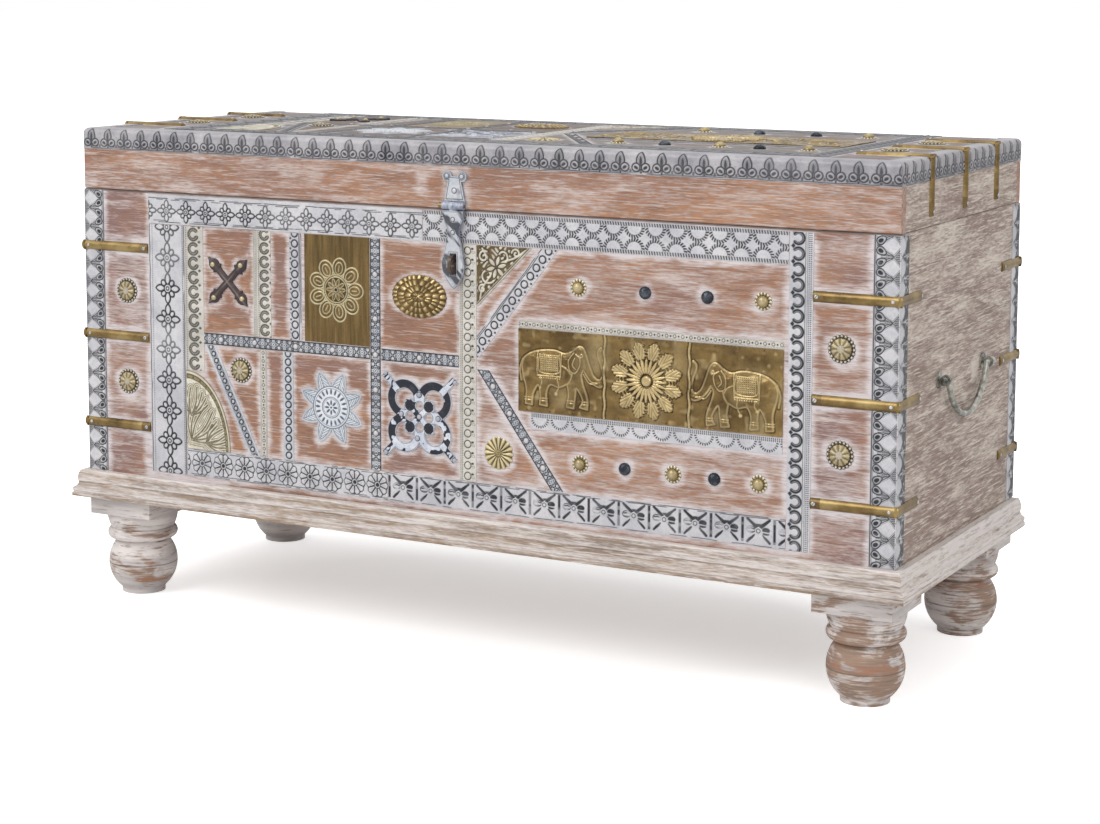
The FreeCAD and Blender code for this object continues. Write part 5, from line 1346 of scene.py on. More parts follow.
def inside_of(x, y, corners):
    """Whether each point lies inside a closed outline."""
    inside = np.zeros(x.shape, bool)
    for (ax, ay), (bx, by) in zip(corners, corners[1:] + corners[:1]):
        crosses = (ay > y) != (by > y)
        inside ^= crosses & (x < (bx - ax) * (y - ay) / (by - ay + 1e-9) + ax)
    return inside


def elephant(x, y, mirror):
    """Line relief of a walking elephant with a raised trunk and a saddle cloth, in a field 112 wide and 98 high."""
    if mirror:
        x = 112 - x
    x = x * 0.99 - 1
    lines = drawn(x, y, ELEPHANT["body"], 7)
    fine = drawn(x, y, ELEPHANT["ear"] + ELEPHANT["tusk"] + ELEPHANT["cloth"], 6)
    small = drawn(x, y, ELEPHANT["bells"] + ELEPHANT["bands"], 3)
    cloth = most(abs(x - 40) - 12.5, abs(y - 61.5) - 10.0)
    curls = least(np.hypot(beat(x, 5.0), beat(y, 5.0)), np.hypot(beat(x, 5.0, 2.5), beat(y, 5.0, 2.5)))
    texture = stroke(curls - 1.3, 1.1) * soft(cloth)
    fringe = dotted(x, y, 43.5, 3.0, 1.0) * soft(abs(x - 40) - 15)
    eye = stroke(np.hypot(x - 82.5, y - 73.5) - 1.8, 1.0)
    knobs = soft(np.hypot(x - 48, y - 24.5) - 2.2) + soft(np.hypot(x - 27, y - 31) - 1.8)
    ridge = most(
        soft(lines - 0.8, 0.8) * 0.8, soft(fine - 0.6, 0.6), soft(small - 0.6, 0.5), texture * 0.8, fringe, eye,
        unit(knobs),
    )
    mass = inside_of(x, y, OUTLINE)
    folds = unit(np.sin((x * 0.5 + y * 0.9) * 0.55 + 3 * patch(x, y, 19, 6))) * mass * soft(3.0 - lines, 2.0)
    shade = most(
        stroke(lines - 2.0, 1.5, 0.7) * ~mass, stroke(fine - 1.6, 0.9) * 0.7, soft(cloth) * (1 - texture) * 0.5,
    )
    swell = mass * 2.3 * (1 - np.exp(-lines / 3.5)) + 0.35 * folds
    return ridge, shade * (1 - ridge), swell


def elephant_motif(wide, tall, x, y):
    """Three fields parted by ridges: elephants that face the middle, and a daisy in a ring of leaves."""
    parts_ = (0, wide * 0.3375, wide * 0.6587, wide)
    y = y * 100.8 / tall
    ridge_1, shade_1, in_1 = elephant(x - 2, y, False)
    ridge_2, shade_2, in_2 = elephant(x - parts_[2] - 3, y * 1.02 + 4, True)
    one, two = x < parts_[1], x > parts_[2]
    ridge = np.where(one, ridge_1, np.where(two, ridge_2, 0))
    shade = np.where(one, shade_1, np.where(two, shade_2, 0))
    swell = np.where(one, in_1, np.where(two, in_2, 0))
    cx, cy = x - (parts_[1] + parts_[2]) / 2, y - 50.4
    reach = np.hypot(cx, cy)
    px, py = fold(cx, cy, 24)
    ray = egg(px - 17.5, py, 9.0, 1.95)
    boss = np.hypot(cx, cy) - 6.4
    qx, qy = fold(cx, cy, 12, math.radians(15))
    tip = unit((qx - 26) / 21)
    half = 9.2 * np.sin(unit(tip * 0.88 + 0.12) * math.pi) ** 0.55 * (0.86 + 0.14 * np.cos(qx * 1.5))
    leaf = most(abs(qy) - half, abs(qx - 36.5) - 10.8)
    vein = np.cos((abs(qy) * 1.9 - (qx - 26) * 0.55)) * 0.5 + 0.5
    middle = reach < 49
    centre = ~(one | two)
    leaf_on = soft(leaf, 0.7) * (reach > 25)
    ray_on = soft(ray, 0.5)
    boss_on = soft(boss, 0.6)
    flower = most(leaf_on * (0.45 + 0.55 * vein), ray_on, boss_on)
    gaps = most(
        stroke(leaf - 0.9, 1.5) * (reach > 25), soft(reach - 26.5) * soft(-ray) * soft(-boss),
        leaf_on * (1 - vein) * 0.5, stroke(reach - 26.4, 1.4) * 0.7,
    )
    ridge = np.where(centre & middle, flower, ridge)
    shade = np.where(centre & middle, gaps, shade)
    lump = np.where(centre, leaf_on * 1.3 + ray_on + dome(reach, 6.6) * 2.0, swell)
    for at in parts_[1:3]:
        bar_ = abs(x - at - 0.7 * np.sin(y * 0.25 + at))
        ridge = np.where(bar_ < 3, soft(bar_ - 1.1, 0.6), ridge)
        shade = np.where((bar_ >= 1.5) & (bar_ < 3.2), 0.8, shade)
    nails_ = soft(np.hypot(beat(x, 31, 12), abs(y - 50.4) - 48.2) - 0.8)
    dents = (patch(x, y, 17, 9) * 0.8 + patch(x + 3 * patch(x, y, 9, 1), y, 7, 4) * 0.55 + patch(x, y, 3.1, 6) * 0.2)
    edge_ = least(x, wide - x, least(y, 100.8 - y))
    height = 0.5 + 0.9 * ridge + lump - 0.3 * shade + dents + 0.2 * np.clip(1.5 - edge_, 0, 1.5)
    # The ink mark is painted shade round the relief and beside the bars, with dark mottling and the nail heads. The
    # light mark, which becomes the wash, is a painted highlight on the raised lines and in pale patches.
    ink = most(shade, nails_, unit(patch(x, y, 22, 2) - 0.5) * 0.8, unit(patch(x * 0.7, y * 1.4, 9, 7) - 0.62) * 1.2)
    light = most(
        np.where(centre & middle, ridge * 0.85, ridge * 0.8), unit(patch(x, y, 26, 4) - 0.6) * 0.9,
        unit(patch(x + 3 * patch(x, y, 9, 1), y, 7, 4) - 0.72) * 1.6,
    )
    return height, ink, light


def oval_motif(a, b, x, y):
    """Ruffled petals in rows round a small boss."""
    cx, cy = x - a, y - b
    share = np.hypot(cx / a, cy / b)
    angle = np.arctan2(cy / b, cx / a)
    row = share * 3.7
    whole = np.floor(row)
    part = row - whole
    count = np.where(whole < 1, 9, np.where(whole < 2, 14, np.where(whole < 3, 20, 26)))
    wave = np.cos(angle * count + whole * 1.7 + 1.5 * np.sin(angle * 5 + whole))
    crest = unit(0.5 + 0.5 * wave) * unit(1.15 - part)
    dome_ = 2.6 * dome(share, 1)
    boss = soft(share * a - 3.0, 0.8)
    # The crests get a painted highlight through the wash mark, and the troughs are darker
    ink = unit(0.55 - crest * 1.6) * (1 - boss) * 0.8
    wash = unit(crest * 1.5 - 0.45)
    ruffle = 0.5 + 0.5 * np.cos(angle * count * 3 + whole)
    return 0.4 + dome_ + 1.5 * crest + 0.3 * ruffle + boss, unit(ink * 0.9 + (1 - ruffle) * 0.1), wash


def star_edge(reach, cx, cy, u, v):
    """Outside the star: eight pointed leaves and a disc."""
    foot, half = reach * 0.52, reach * 0.215
    rise = reach - foot
    hub = (rise * rise - half * half) / (2 * half)
    x, y = u - cx, v - cy
    px, py = fold(x, y, 8, math.radians(67.5))
    leaf = most(np.hypot(px - foot, abs(py) + hub) - (hub + half), foot - 4 - px)
    return least(leaf, np.hypot(x, y) - reach * 0.57)


def star_motif(reach, x, y):
    """Veined leaves with a double outline round a disc with rings of drops and a small flower."""
    edge = partial(star_edge, reach, reach, reach)
    far = edge(x, y)
    cx, cy = x - reach, y - reach
    r = np.hypot(cx, cy)
    px, py = fold(cx, cy, 8, math.radians(67.5))
    dx, dy = fold(cx, cy, 20)
    fx, fy = fold(cx, cy, 8)
    disc = reach * 0.55
    veins = soft(abs(beat(px * 0.8 + abs(py), 3.4)) - 0.55, 0.3) * soft(far + 3.0)
    ink = np.where(r > disc + 1, most(stroke(far + 2.3, 0.9), veins * 0.8), 0)
    ink = np.where(r > disc + 1, most(ink, soft(abs(py) - 0.4) * soft(far + 3)), ink)
    drop = egg(dx - reach * 0.41, dy, reach * 0.075, reach * 0.03)
    ink = most(ink, soft(drop, 0.4) * (r < disc))
    for at, w in ((disc, 1.3), (disc * 0.9, 0.7), (reach * 0.27, 1.1), (reach * 0.23, 0.6)):
        ink = most(ink, stroke(r - at, w))
    ink = most(
        ink, soft(egg(fx - reach * 0.13, fy, reach * 0.07, reach * 0.028), 0.3) * (r < reach * 0.22),
        soft(r - 1.4), stroke(far + 0.8, 0.8) * 0.5,
    )
    return 1.6 + 0.4 * soft(r - disc * 0.85, 3) - 0.6 * ink, ink * 0.95, ink * 0


def fret_edge(half, cx, cy, u, v):
    """Outside the fretwork: four pierced lobes with a cusp in each hole, crossed by two arms."""
    x, y = u - cx, v - cy
    ax, ay = abs(x), abs(y)
    spread, cusp_at = half * 0.39, half * 0.25
    lobe = np.hypot(ax - spread, ay - spread) - half * 0.455
    arm = most(abs(ax - ay) / math.sqrt(2) - half * 0.082, (ax + ay) / math.sqrt(2) - half * 1.33)
    hole = np.hypot(ax - spread, ay - spread) - half * 0.245
    cusp = np.hypot(ax - half * 0.31, ay - half * 0.31) - half * 0.085
    for a, b in ((0.2, 0.33), (0.33, 0.2), (0.22, 0.22)):
        cusp = least(cusp, np.hypot(ax - half * a, ay - half * b) - half * 0.08)
    eye = least(np.hypot(ax - cusp_at, ay), np.hypot(ax, ay - cusp_at)) - half * 0.1
    hole = least(most(hole, -cusp), eye)
    return most(least(lobe, arm), -hole)


def fret_motif(half, x, y):
    """Black and white patches brushed over the pierced plate, with a nail at each arm and crossing."""
    edge = partial(fret_edge, half, half, half)
    far = edge(x, y)
    cx, cy = x - half, y - half
    upper = cy > 4
    brushed = 0.7 * patch(cx + cy * 0.4, cy, 15, 3) + 0.3 * patch(cx, cy, 4.5, 4)
    arm = abs(abs(cx) - abs(cy)) < half * 0.11
    hub = (abs(cx) + abs(cy)) < half * 0.62
    dark = np.where(upper, brushed > 0.2, brushed > 0.46)
    dark = np.where(arm, brushed > 0.6, dark)
    dark = np.where(hub, brushed > 0.68, dark)
    cusp = np.hypot(abs(cx) - half * 0.25, abs(cy) - half * 0.25) < half * 0.13
    dark = np.where(cusp, 1, dark).astype(float)
    tips = (abs(cx) > half * 0.78) & (abs(cy) > half * 0.78)
    dark = np.where(tips, np.sin((cx - cy) * 0.9) > 0.1, dark).astype(float)
    ink = most(dark * unit(-far * 1.2), stroke(far + 0.7, 0.9) * 0.8)
    nail_at = (
        (-0.9, 0.95), (0.95, 0.86), (0, 0.51), (-0.48, 0.03), (0, 0), (0.5, 0), (-0.05, -0.5), (-0.9, -0.9),
        (0.93, -0.92),
    )
    height = np.full(x.shape, 1.8)
    for a, b in nail_at:
        r = np.hypot(cx - a * half, cy - b * half)
        height = height + 1.6 * dome(r, 3.2)
        ink = np.where(r < 3.9, unit(stroke(r - 3.5, 0.9) * 0.9 + 0.35), ink)
    return height, ink, x * 0


def round_plate(face, body, name, node, place, reach, motif, look, slot="aged_brass", spokes=96, rings=26):
    """A round piece whose motif takes radius and angle and gives height, ink, wash and the outline's share."""
    r_share = np.linspace(0.02, 1, rings)
    angle = np.linspace(0, 2 * math.pi, spokes, endpoint=False)
    share, turn_ = (x.ravel() for x in np.meshgrid(r_share, angle, indexing="ij"))
    face.laid.append(lambda u, v: np.hypot(u - place[0], v - place[1]) - reach)
    height, ink, wash, out = motif(share * reach, turn_)
    r = share * reach * out
    u, v = place[0] + r * np.cos(turn_), place[1] + r * np.sin(turn_)
    i, j = (x.ravel() for x in np.meshgrid(np.arange(rings - 1), np.arange(spokes), indexing="ij"))
    after = (j + 1) % spokes
    quads = np.stack([i * spokes + j, (i + 1) * spokes + j, (i + 1) * spokes + after, i * spokes + after], 1)
    top = face.at(u, v, height)
    low = face.at(u, v, np.full(len(u), -SUNK))
    points, quads, marks, _ = closed(quads, len(u), top, low, {"ink": ink, "wash": wash})
    # The middle closes on the innermost ring
    mesh = mesh_of(name, points, quads, marks, [list(range(spokes))])
    return piece_of(name, mesh, look, body, node)


def rosette_motif(reach, r, a):
    """Pointed petals round a silvery boss, inside a dark ring and a rim of pale beads."""
    share = r / reach
    petal = 0.5 + 0.5 * np.cos(a * 9)
    bead = 0.5 + 0.5 * np.cos(a * 20)
    rim = share > 0.78
    boss = soft(share - 0.27, 0.05)
    dome_ = 3.0 * dome(share, 0.8)
    round_ = unit(1 - ((share - 0.89) / 0.1) ** 2)
    height = 0.6 + np.where(rim, 1.5 * bead * round_, dome_ + 0.9 * petal * (1 - boss)) + 0.9 * boss
    ink = most(
        np.where(rim, unit(1.25 - 1.5 * bead * round_), unit(0.75 - 1.7 * petal) * (1 - boss)),
        stroke(share - 0.77, 0.07, 0.03), stroke(share - 0.29, 0.05, 0.03) * 0.7,
        stroke(share - 0.52, 0.04, 0.03) * 0.5 * petal,
    )
    wash = np.where(rim, unit(bead * 1.6 - 0.5) * round_, unit(petal * 1.3 - 0.75) * soft(share - 0.62, 0.1) * 0.8)
    ink = most(ink, boss * unit(0.5 + 0.5 * np.cos(a * 6)) * soft(0.12 - share, 0.03) * 0.6)
    return height, ink * 0.95, most(wash, boss * 0.5), 1 + 0.03 * np.cos(a * 20)


def sun_motif(reach, r, a):
    """Sixteen narrow rays round a domed heart."""
    ray = 0.5 + 0.5 * np.cos(a * 16)
    boss = soft(r - reach * 0.2, 0.8)
    height = (0.6 + 1.6 * ray**0.7 * np.sin(unit(r / reach) * math.pi) ** 0.7 + 2.4 * dome(r / reach, 0.22))
    ink = most(unit(0.9 - 2.2 * ray) * (1 - boss), stroke(r - reach * 0.22, 1.0) * 0.8)
    return height, ink, unit(ray * 1.5 - 0.5) * 0.9 * (1 - boss) + boss * 0.3, 0.9 + 0.1 * ray**0.4


def stud_motif(reach, r, a):
    """A domed head in a rim of small beads."""
    bead = 0.5 + 0.5 * np.cos(a * 14)
    rim = r > reach * 0.72
    dome_ = 6.0 * dome(r / reach, 0.7)
    height = 0.7 + dome_ + np.where(rim, 1.0 * bead * soft(abs(r - reach * 0.86) - reach * 0.1, 0.6), 0)
    ink = np.where(rim, (1 - bead) * 0.8, 0) + stroke(r - reach * 0.7, 1.0) * 0.9
    # A painted highlight on the top of the dome
    dome_highlight = unit(1 - r / reach / 0.5) * 0.5
    return least(height, 6.9), unit(ink), np.where(rim, bead * 0.95, dome_highlight), 0.97 + 0.03 * bead


def iron_stud_motif(reach, r, a):
    """A dark domed head with shallow facets."""
    dome_ = 5.2 * dome(r / reach, 1.02)
    facet = 0.35 * abs(np.cos(a * 3.5)) * soft(abs(r - reach * 0.55) - reach * 0.3, 1.5)
    return 0.5 + dome_ - facet, r * 0, r * 0, 1 + r * 0


ARM = ((0, 0.47, 0.54, 0.59, 0.7, 0.8, 0.9, 1.0), (0.105, 0.105, 0.2, 0.15, 0.18, 0.15, 0.06, 0.0))


def cross_edge(reach, cx, cy, u, v):
    """Outside the forged cross: four arms on the slant, each swelling into a leaf."""
    px, py = fold(u - cx, v - cy, 4, math.pi / 4)
    half = np.interp(px / reach, *ARM) * reach
    return most((abs(py) - half) * 0.85, px - reach)


def cross_motif(reach, x, y):
    """Forged arms with a ridge along the middle, darker towards their sides, with a painted highlight along the
    ridge.
    """
    px, py = fold(x - CROSS_HALF, y - CROSS_HALF, 4, math.pi / 4)
    half = np.interp(px / reach, *ARM) * reach + 0.4
    ridge = unit(1 - abs(py) / half)
    height = 1.4 + 1.9 * ridge**0.8 + 0.4 * patch(x, y, 5, 3)
    return height, 0.5 * (1 - ridge), unit(ridge * 3 - 2.1) * patch(x, y, 8, 2)


def dome_motif(reach, r, a):
    """A small domed rivet."""
    height = 2.6 + 2.6 * dome(r, reach)
    return height, soft(abs(r - reach * 0.9) - reach * 0.08) * 0.6, r * 0 + 0.3, 1 + r * 0


def lay_plates(plan):
    """The plates, medallions, rosettes and studs of one face."""
    low, high, c_1 = plan.low, plan.high, plan.cross_strip[1]

    def lay(name, kind, place, motif, look, edge=None, fine=1.0, slot="aged_brass"):
        node = plan.plate_nodes[kind]
        plate(plan.face, plan.body, plan.tag + name, node, place, motif, look, edge, plan.plate_step * fine)

    def rounds(name, kind, places, reach, motif, *more):
        for i, at in enumerate(places):
            made = plan.tag + name.format(i)
            round_plate(plan.face, plan.body, made, plan.plate_nodes[kind], at, reach, partial(motif, reach), *more)

    def about(at, a, b):
        return at[0] - a, at[1] - b, at[0] + a, at[1] + b

    wide = 97
    lay(
        "flower_sheet", "flower", (350, c_1 + 1, 350 + wide, high), partial(flower_plate, wide, high - c_1 - 1),
        plain_gilt,
    )
    place = plan.elephants
    lay("elephant_sheet", "elephants", place, partial(elephant_motif, 345.5, place[3] - place[1]), gilded, None, 0.85)
    reach, tall = 68.5, plan.bead_rise - 1

    def fan_edge(u, v, reach=reach):
        return (np.hypot((u - 163) / reach, (v - low) / tall) - 1) * reach

    lay("fan_sheet", "fan", (163, low, 163 + reach, low + tall), partial(fan_motif, reach, tall), pale_gilt, fan_edge)
    size = 75.7

    def floral_edge(u, v):
        slant = ((u - 602) - (v - high + size)) / math.sqrt(2)
        return most(slant, most(602 - u, v - high))

    lay(
        "floral_sheet", "floral", (602, high - size, 602 + size, high), partial(floral_motif, size), dark_gilt,
        floral_edge,
    )
    a, b = OVAL
    ox, oy = plan.oval

    def oval_edge(u, v):
        x, y = (u - ox) / a, (v - oy) / b
        return (np.hypot(x, y) - 1 - 0.012 * np.cos(np.arctan2(y, x) * 32)) * 30

    lay(
        "oval_sheet", "oval", about(plan.oval, a, b), partial(oval_motif, a, b), gilded, oval_edge, 0.75,
        plan.oval_slot,
    )
    for name, at, reach, motif, look, edge in (
        ("star", plan.star, 49.2, star_motif, silver_white, star_edge),
        ("fret", plan.fret, 54.5, fret_motif, fret_look, fret_edge),
    ):
        place = about(at, reach, reach)
        lay(
            name + "_sheet", name, place, partial(motif, reach), look, partial(edge, reach, *at), 0.85,
            "embossed_metal",
        )
    reach, half = 43.0, CROSS_HALF
    place = about(plan.iron_cross, half, half)
    edge = partial(cross_edge, reach, *plan.iron_cross)
    lay("cross_sheet", "cross", place, partial(cross_motif, reach), iron_look, edge, 0.9, "dark_iron")
    x, y = plan.iron_cross
    domes = [(x + a, y + b) for a, b in ((-22.6, 21.0), (21.0, 22.4), (22.8, -21.0), (-21.5, -22.0))]
    rounds("cross_dome_{}", "cross", domes, 3.6, dome_motif, stud_brass, "dark_iron", 24, 8)
    rounds("sun_rosette", "rosettes", [plan.sun], 20.5, sun_motif, sun_gilt, "aged_brass", 160, 28)
    places = [*((u, v) for u in (67.5, 1076.5) for v in plan.rosette_rows), plan.nook]
    rounds("rosette_{}", "rosettes", places, 16.5, rosette_motif, rosette_gilt, "aged_brass", 144, 30)
    rounds("brass_stud_{}", "brass", plan.brass_at, 10.7, stud_motif, stud_brass, "aged_brass", 84, 20)
    rounds("iron_stud_{}", "iron", plan.iron_at, 7.6, iron_stud_motif, iron_dark, "dark_iron", 48, 12)


silver_white = embossed("star_emboss", tones("c4cad1", "dadde2", "a6acb6"), linear(62, 70, 88), WASH)
rosette_gilt = embossed(
    "rosette_emboss", tones("8e7e54", "b8a87a", "685838"), linear(46, 38, 40), linear(216, 210, 204), 0.35, 0.4, 0.25,
)
sun_gilt = embossed(
    "sun_emboss", tones("8e7c50", "b4a272", "6a5632"), linear(46, 40, 34), linear(226, 214, 178), 0.55, 0.36, 0.25,
)
fret_look = embossed(
    "fret_emboss", tones("b8becc", "d8dae0", "747a8e"), linear(20, 23, 36), WASH, 0.15, 0.45, 0.4, (3, 1, 3), 0.95,
)
# Its pale colour is the painted highlight along the forged cross's ridges
iron_look = embossed(
    "iron_emboss", tones("382e2e", "4e403e", "28262e"), linear(30, 27, 30), linear(150, 138, 136), 0.45, 0.4, 0.4,
)
# Its pale colour paints the rim beads and the painted highlight on each stud's dome
stud_brass = embossed(
    "stud_emboss", tones("8c7a52", "b2a074", "6c5c3a"), linear(56, 48, 34), linear(234, 224, 196), 0.55, 0.36, 0.2,
)
for plan in (FRONT_PLAN, LID_PLAN):
    lay_plates(plan)

# Boards with a pale wash round what lies on them


# Its pale colour is the painted highlight on the strap screws
strap_gilt = embossed(
    "strap_emboss", tones("624e2e", "8a7448", "544226"), linear(42, 34, 24), linear(206, 208, 210), 0.7, 0.36, 0.2,
)


def strap_ends():
    """The flat-cut end of each strap with a screw in it, and one more screw in each front arm near the corner."""
    long, proud = STRAP_WIDE, 4.0
    hub = ((long / 2) ** 2 + proud**2) / (2 * proud)
    reach = 2.5

    def tab(name, face, body, node, u_0, v_0, way):
        middle_u, middle_v = u_0 + long / 2, v_0 + long / 2

        def motif(u, v):
            x, y = u - middle_u, v - middle_v
            along, over = x * way[0] + y * way[1], x * way[1] + y * way[0]
            height = np.sqrt(hub**2 - over**2) - hub + proud
            height = height * dome(np.clip(along - 4.9, 0, None), 2.0)
            r = np.hypot(along - 1.6, over)
            head = soft(r - reach, 0.3)
            height = height * (1 - head) + head * (3.9 + 0.9 * dome(r, reach))
            slot = soft(abs(along - 1.6 - over * 0.6) - 0.35, 0.2) * head
            ink = most(stroke(r - reach - 0.2, 0.8) * 0.9, slot)
            # The wash mark on the screw head is a painted highlight
            return most(height, 0.05), {"ink": ink, "wash": head * (1 - slot)}

        emboss(
            name, (u_0, v_0, u_0 + long, v_0 + long), motif, face, body, node, strap_gilt, None, 0.55,
        )

    def head_motif(r, a):
        # The wash mark on the screw's face is a painted highlight
        return 3.7 + 0.9 * dome(r, reach), soft(abs(r - reach) - 0.3) * 0.8, soft(r - reach * 0.8), 1 + r * 0

    for level, z in enumerate(STRAP_FEET):
        for side, u, way, screw in (("left", 90, 1, 6.5), ("right", 1041, -1, 1137.5)):
            tab(f"strap_end_front_{side}_{level}", FRONT, "chest", "strap_nails", u, z, (way, 0))
            name, at = f"strap_screw_{side}_{level}", (screw, z + long / 2)
            round_plate(FRONT, "chest", name, "strap_nails", at, reach, head_motif, strap_gilt, "aged_brass", 24, 6)
        for side, u, way in (("left", 504, -1), ("right", -517, 1)):
            tab(f"strap_end_back_{side}_{level}", BACK, "chest", "strap_nails", u, z, (way, 0))
        for side, face, sign in (("right", RIGHT, 1), ("left", LEFT, -1)):
            for end, low, way in (("front", -157, 1), ("back", 152, -1)):
                u = low if sign > 0 else -low - long
                tab(f"strap_end_{side}_{end}_{level}", face, "chest", "strap_nails", u, z, (way * sign, 0))
    for level, y in enumerate(LID_STRAP_FEET):
        for side, u, way in (("left", 77, 1), ("right", 1054, -1)):
            tab(f"lid_strap_end_{side}_{level}", TOP, "lid", "lid_strap_nails", u, y, (way, 0))
        for side, face, u in (("right", RIGHT, y), ("left", LEFT, -y - long)):
            tab(f"lid_strap_foot_{side}_{level}", face, "lid", "lid_strap_nails", u, 562, (0, -1))


strap_ends()


def board(name, plan, box, node, look, step, edge_height, extra, breaks=(), gap_shadow_share=0.0):
    """A board whose outer face carries how near the metal lies, so that the wash gathers there, and, on the front
    board, a painted shadow along its top edge for the gap under the lid.
    """
    face = plan.face
    low, high = in_mm(box)
    up = 2 if face is FRONT else 1
    thick = (high - low)[3 - up]
    u_0, v_0, u_1, v_1 = low[0] + HALF, low[up], high[0] + HALF, high[up]

    def lines(low, high):
        even = np.linspace(low, high, int((high - low) / step) + 2)
        near = [low + b for b in breaks] + [high - b for b in breaks]
        return np.unique(np.round(np.concatenate([even, near]), 3))

    across, upward = lines(u_0, u_1), lines(v_0, v_1)
    u, v = (x.ravel() for x in np.meshgrid(across, upward, indexing="ij"))
    far = np.full(u.shape, FAR)
    for edge in [*face.laid, *extra]:
        far = least(far, edge(u, v))
    ragged = far + 5 * (patch(u, v, 11, 3) - 0.5)
    left_panels = unit((620 - u) / 60) * unit((u - 160) / 20)
    halo = unit(1.1 - ragged / (5 + 5.5 * patch(u, v, 38, 5)))
    halo = halo - 0.7 * left_panels * np.clip(far / 9, 0.35, 1)
    outer = unit((abs(u - HALF) - 440) / 40)
    tint = unit(patch(u, v, 90, 2) * 0.9 + patch(u, v, 30, 4) * 0.4 + outer * 0.5 - 0.75) * 2
    # The last mark is a painted shadow along the top edge, for the gap under the lid
    marks = {"halo": halo, "tint": unit(tint), "gap_shadow": (v > v_1 - 1.3) * gap_shadow_share}
    height = edge_height(u, v, (u_0, v_0, u_1, v_1))
    quads = squares_between(len(across), len(upward))
    return sheet_of(name, quads, u, v, height, -thick, marks, face, look, plan.body, node)


def iron_cross_edge(cx, cy, u, v):
    """Outside the forged cross, taken as a plain saltire."""
    x, y = abs(u - cx), abs(v - cy)
    return most(abs(x - y) / math.sqrt(2) - 6, most(x, y) - 30)


def in_mm(box):
    return [np.array(corner) * 1000 for corner in box]


def boards():
    """The front panel with a broken arris at its top, and the lid's board with rounded edges."""
    arris = 1.2
    wide = STRAP_WIDE
    straps = [box_edge((u, z, u + 94, z + wide)) for u in (-4, 1054) for z in STRAP_FEET]
    low, high = in_mm(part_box("hasp_leaf"))
    hasp = box_edge((low[0] + HALF, low[2], high[0] + HALF, high[2]))
    board(
        "front_board", FRONT_PLAN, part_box("front_panel"), "front_panel", front_wood, 2.7,
        lambda u, v, place: -np.clip(v - place[3] + arris, 0, arris),
        [*straps, hasp, partial(iron_cross_edge, *FRONT_PLAN.iron_cross)], (arris,), 0.8,
    )

    def rounded(u, v, place):
        inward = least(u - place[0], place[2] - u, least(v - place[1], place[3] - v))
        inward = np.clip(inward, 0, LID_BEND)
        return np.sqrt(LID_BEND**2 - (LID_BEND - inward) ** 2) - LID_BEND

    straps = [box_edge((u, v, u + 77, v + wide)) for u in (0, 1067) for v in LID_STRAP_FEET]
    cross = partial(iron_cross_edge, *LID_PLAN.iron_cross)
    breaks = (0.15, 0.6, 1.3, 2.4, 3.8, LID_BEND)
    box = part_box("lid_top_board")
    board("lid_board", LID_PLAN, box, "lid_top_board", top_wood, 3.4, rounded, [*straps, cross], breaks)


boards()


hasp_look = embossed(
    "hasp_emboss", tones("acb0b8", "c8cace", "828690"), linear(40, 42, 52), linear(222, 222, 220), 0.3, 0.42, 0.3,
)


def hasp_sheets():
    """Thin skins on the hasp's plate and leaf: outlines, ringed nails and slanted brush strokes."""
    axis = in_mm(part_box("hasp_plate"))[1][2] - 42.5
    skin = Face((0, -215, axis), (1, 0, 0), (0, 0, 1), (0, -1, 0))

    def plate_edge(u, v):
        half = np.interp(v, (5.5, 29.5, 36.0), (14.5, 9.5, 9.5))
        blade = most(abs(u) - half, most(5.9 - v, v - 36))
        ears = np.hypot(abs(u) - 10.5, v - 36) - 6.5
        return least(blade, ears) + 0.35

    def plate_motif(u, v):
        far = plate_edge(u, v)
        ink = stroke(far + 1.7, 1.0) * 0.9
        height = 0.35 + 0.3 * soft(far + 2.4, 0.6)
        for x, y, reach in ((-10.5, 36, 2.8), (10.5, 36, 2.8), (0, 18.5, 3.0)):
            r = np.hypot(u - x, v - y)
            height = height + 1.1 * dome(r, reach)
            ink = np.where(r < reach + 1.4, stroke(r - reach - 0.3, 1.0), ink)
        streaks = unit(patch(u + v * 0.8, v - u * 0.5, 5, 4) * 1.8 - 1.0)
        ink = most(ink, streaks * 0.7)
        return height - 0.15 * ink, {"ink": ink, "wash": ink * 0}

    emboss(
        "hasp_plate_skin", (-17.2, 5.7, 17.2, 42.6), plate_motif, skin, "lid", None, hasp_look, plate_edge, 0.5,
    )
    blade_face = Face((0, -218.8, axis), (1, 0, 0), (0, 0, 1), (0, -1, 0))

    def leaf_edge(u, v):
        half = np.interp(-v, (5.5, 15, 28, 37, 70), (14.4, 14.4, 8.5, 8.5, 15.8))
        sweep = (15.8**2 + 32**2) / (2 * 15.8)
        head = np.hypot(abs(u) + sweep - 15.8, v + 70) - sweep
        blade = np.where(v < -70, head, (abs(u) - half) * 0.96)
        slot = most(abs(u) - 4.9, abs(v + 71.7) - 13.9)
        return most(blade, v + 5.9, -slot) + 0.35

    def leaf_motif(u, v):
        far = leaf_edge(u, v)
        lean = u * 0.75 + v * 0.66
        strokes = patch(lean, (v * 0.75 - u * 0.66) * 0.22, 3.4, 6)
        wide = patch(u, v, 16, 2)
        ink = most(unit((strokes + 0.5 * wide - 0.78) * 5) * 0.9, stroke(far + 1.2, 0.8) * 0.7)
        height = 0.35 + 0.25 * soft(far + 1.9, 0.6) - 0.12 * ink
        for x, y in ((0, -16.5), (0, -32.5)):
            r = np.hypot(u - x, v - y)
            height = height + dome(r, 2.5)
            ink = np.where(r < 3.8, stroke(r - 2.8, 1.0), ink)
        return height, {"ink": ink, "wash": ink * 0}

    emboss(
        "hasp_leaf_skin", (-16, -102.2, 16, -5.7), leaf_motif, blade_face, "hasp", None, hasp_look, leaf_edge, 0.5,
    )


hasp_sheets()

# Stage


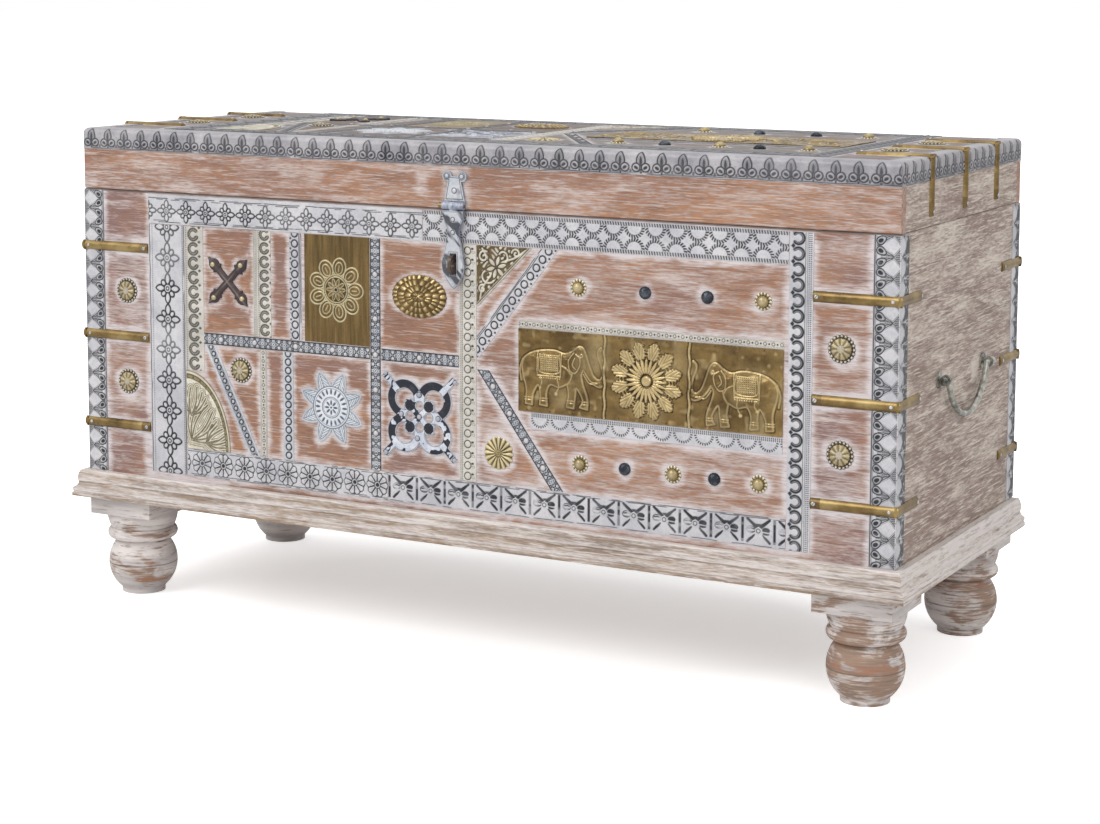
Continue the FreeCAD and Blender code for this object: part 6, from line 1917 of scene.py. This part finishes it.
def stage_and_light():
    """A pale floor, white surroundings to the camera, soft lamps and the photograph's viewpoint."""
    mesh = bpy.data.meshes.new("floor")
    mesh.from_pydata([(-30, -30, 0), (30, -30, 0), (30, 30, 0), (-30, 30, 0)], [], [(0, 1, 2, 3)])
    floor = bpy.data.objects.new("floor", mesh)
    scene.collection.objects.link(floor)
    white = (1, 1, 1, 1)
    ground, web = material(
        "floor", Base_Color=(0.9, 0.9, 0.9, 1), Roughness=0.9, Specular_IOR_Level=0.0, Emission_Color=white,
    )
    # Far from the chest the floor is plain white to the camera, and near it the shadow shows
    away = web.vector("LENGTH", web.scaled(0.75, 1.3, 1))
    seen = web.add("ShaderNodeLightPath").outputs["Is Camera Ray"]
    web.out("Emission Strength", web.math("MULTIPLY", seen, web.span(away, 0.3, 0.85, 0.42, 1.0)))
    mesh.materials.append(ground)
    world = bpy.data.worlds.new("world")
    scene.world = world
    world.use_nodes = True
    web = Web(world.node_tree, world.node_tree.nodes["Background"])
    path = web.add("ShaderNodeLightPath")
    seen = web.math("MAXIMUM", path.outputs["Is Camera Ray"], path.outputs["Is Glossy Ray"])
    web.out("Color", white)
    web.out("Strength", web.span(seen, 0.0, 1.0, 0.62, 1.0))
    for name, place, size, power in (
        ("key", (-1.6, -3.2, 3.4), 2.6, 95),
        ("fill", (3.2, -2.4, 2.2), 2.6, 40),
        ("top", (0.2, 0.4, 3.8), 2.4, 22),
    ):
        lamp = bpy.data.lights.new(name, "AREA")
        lamp.energy = power
        lamp.size = size
        thing = bpy.data.objects.new(name, lamp)
        scene.collection.objects.link(thing)
        thing.location = place
        thing.rotation_euler = (Vector((0, 0, 0.3)) - Vector(place)).to_track_quat("-Z", "Y").to_euler()
    lens = bpy.data.cameras.new("camera")
    eye = bpy.data.objects.new("camera", lens)
    scene.collection.objects.link(eye)
    scene.camera = eye
    lens.sensor_width = 36.0
    lens.lens = 2410.8 / 1100 * lens.sensor_width
    lens.shift_y = -0.147
    lens.clip_end = 100
    yaw, pitch, roll = math.radians(28.28), math.radians(6.73), math.radians(-0.148)
    ahead = Vector((-math.sin(yaw) * math.cos(pitch), math.cos(yaw) * math.cos(pitch), -math.sin(pitch)))
    side = ahead.cross(Vector((0, 0, 1))).normalized()
    up = side.cross(ahead)
    turned = Matrix.Rotation(roll, 3, ahead)
    side, up = turned @ side, turned @ up
    axes = Matrix((side, up, -ahead)).transposed().to_4x4()
    eye.matrix_world = Matrix.Translation((1.4866, -2.7323, 0.8451)) @ axes
    scene.view_settings.view_transform = "Standard"


stage_and_light()
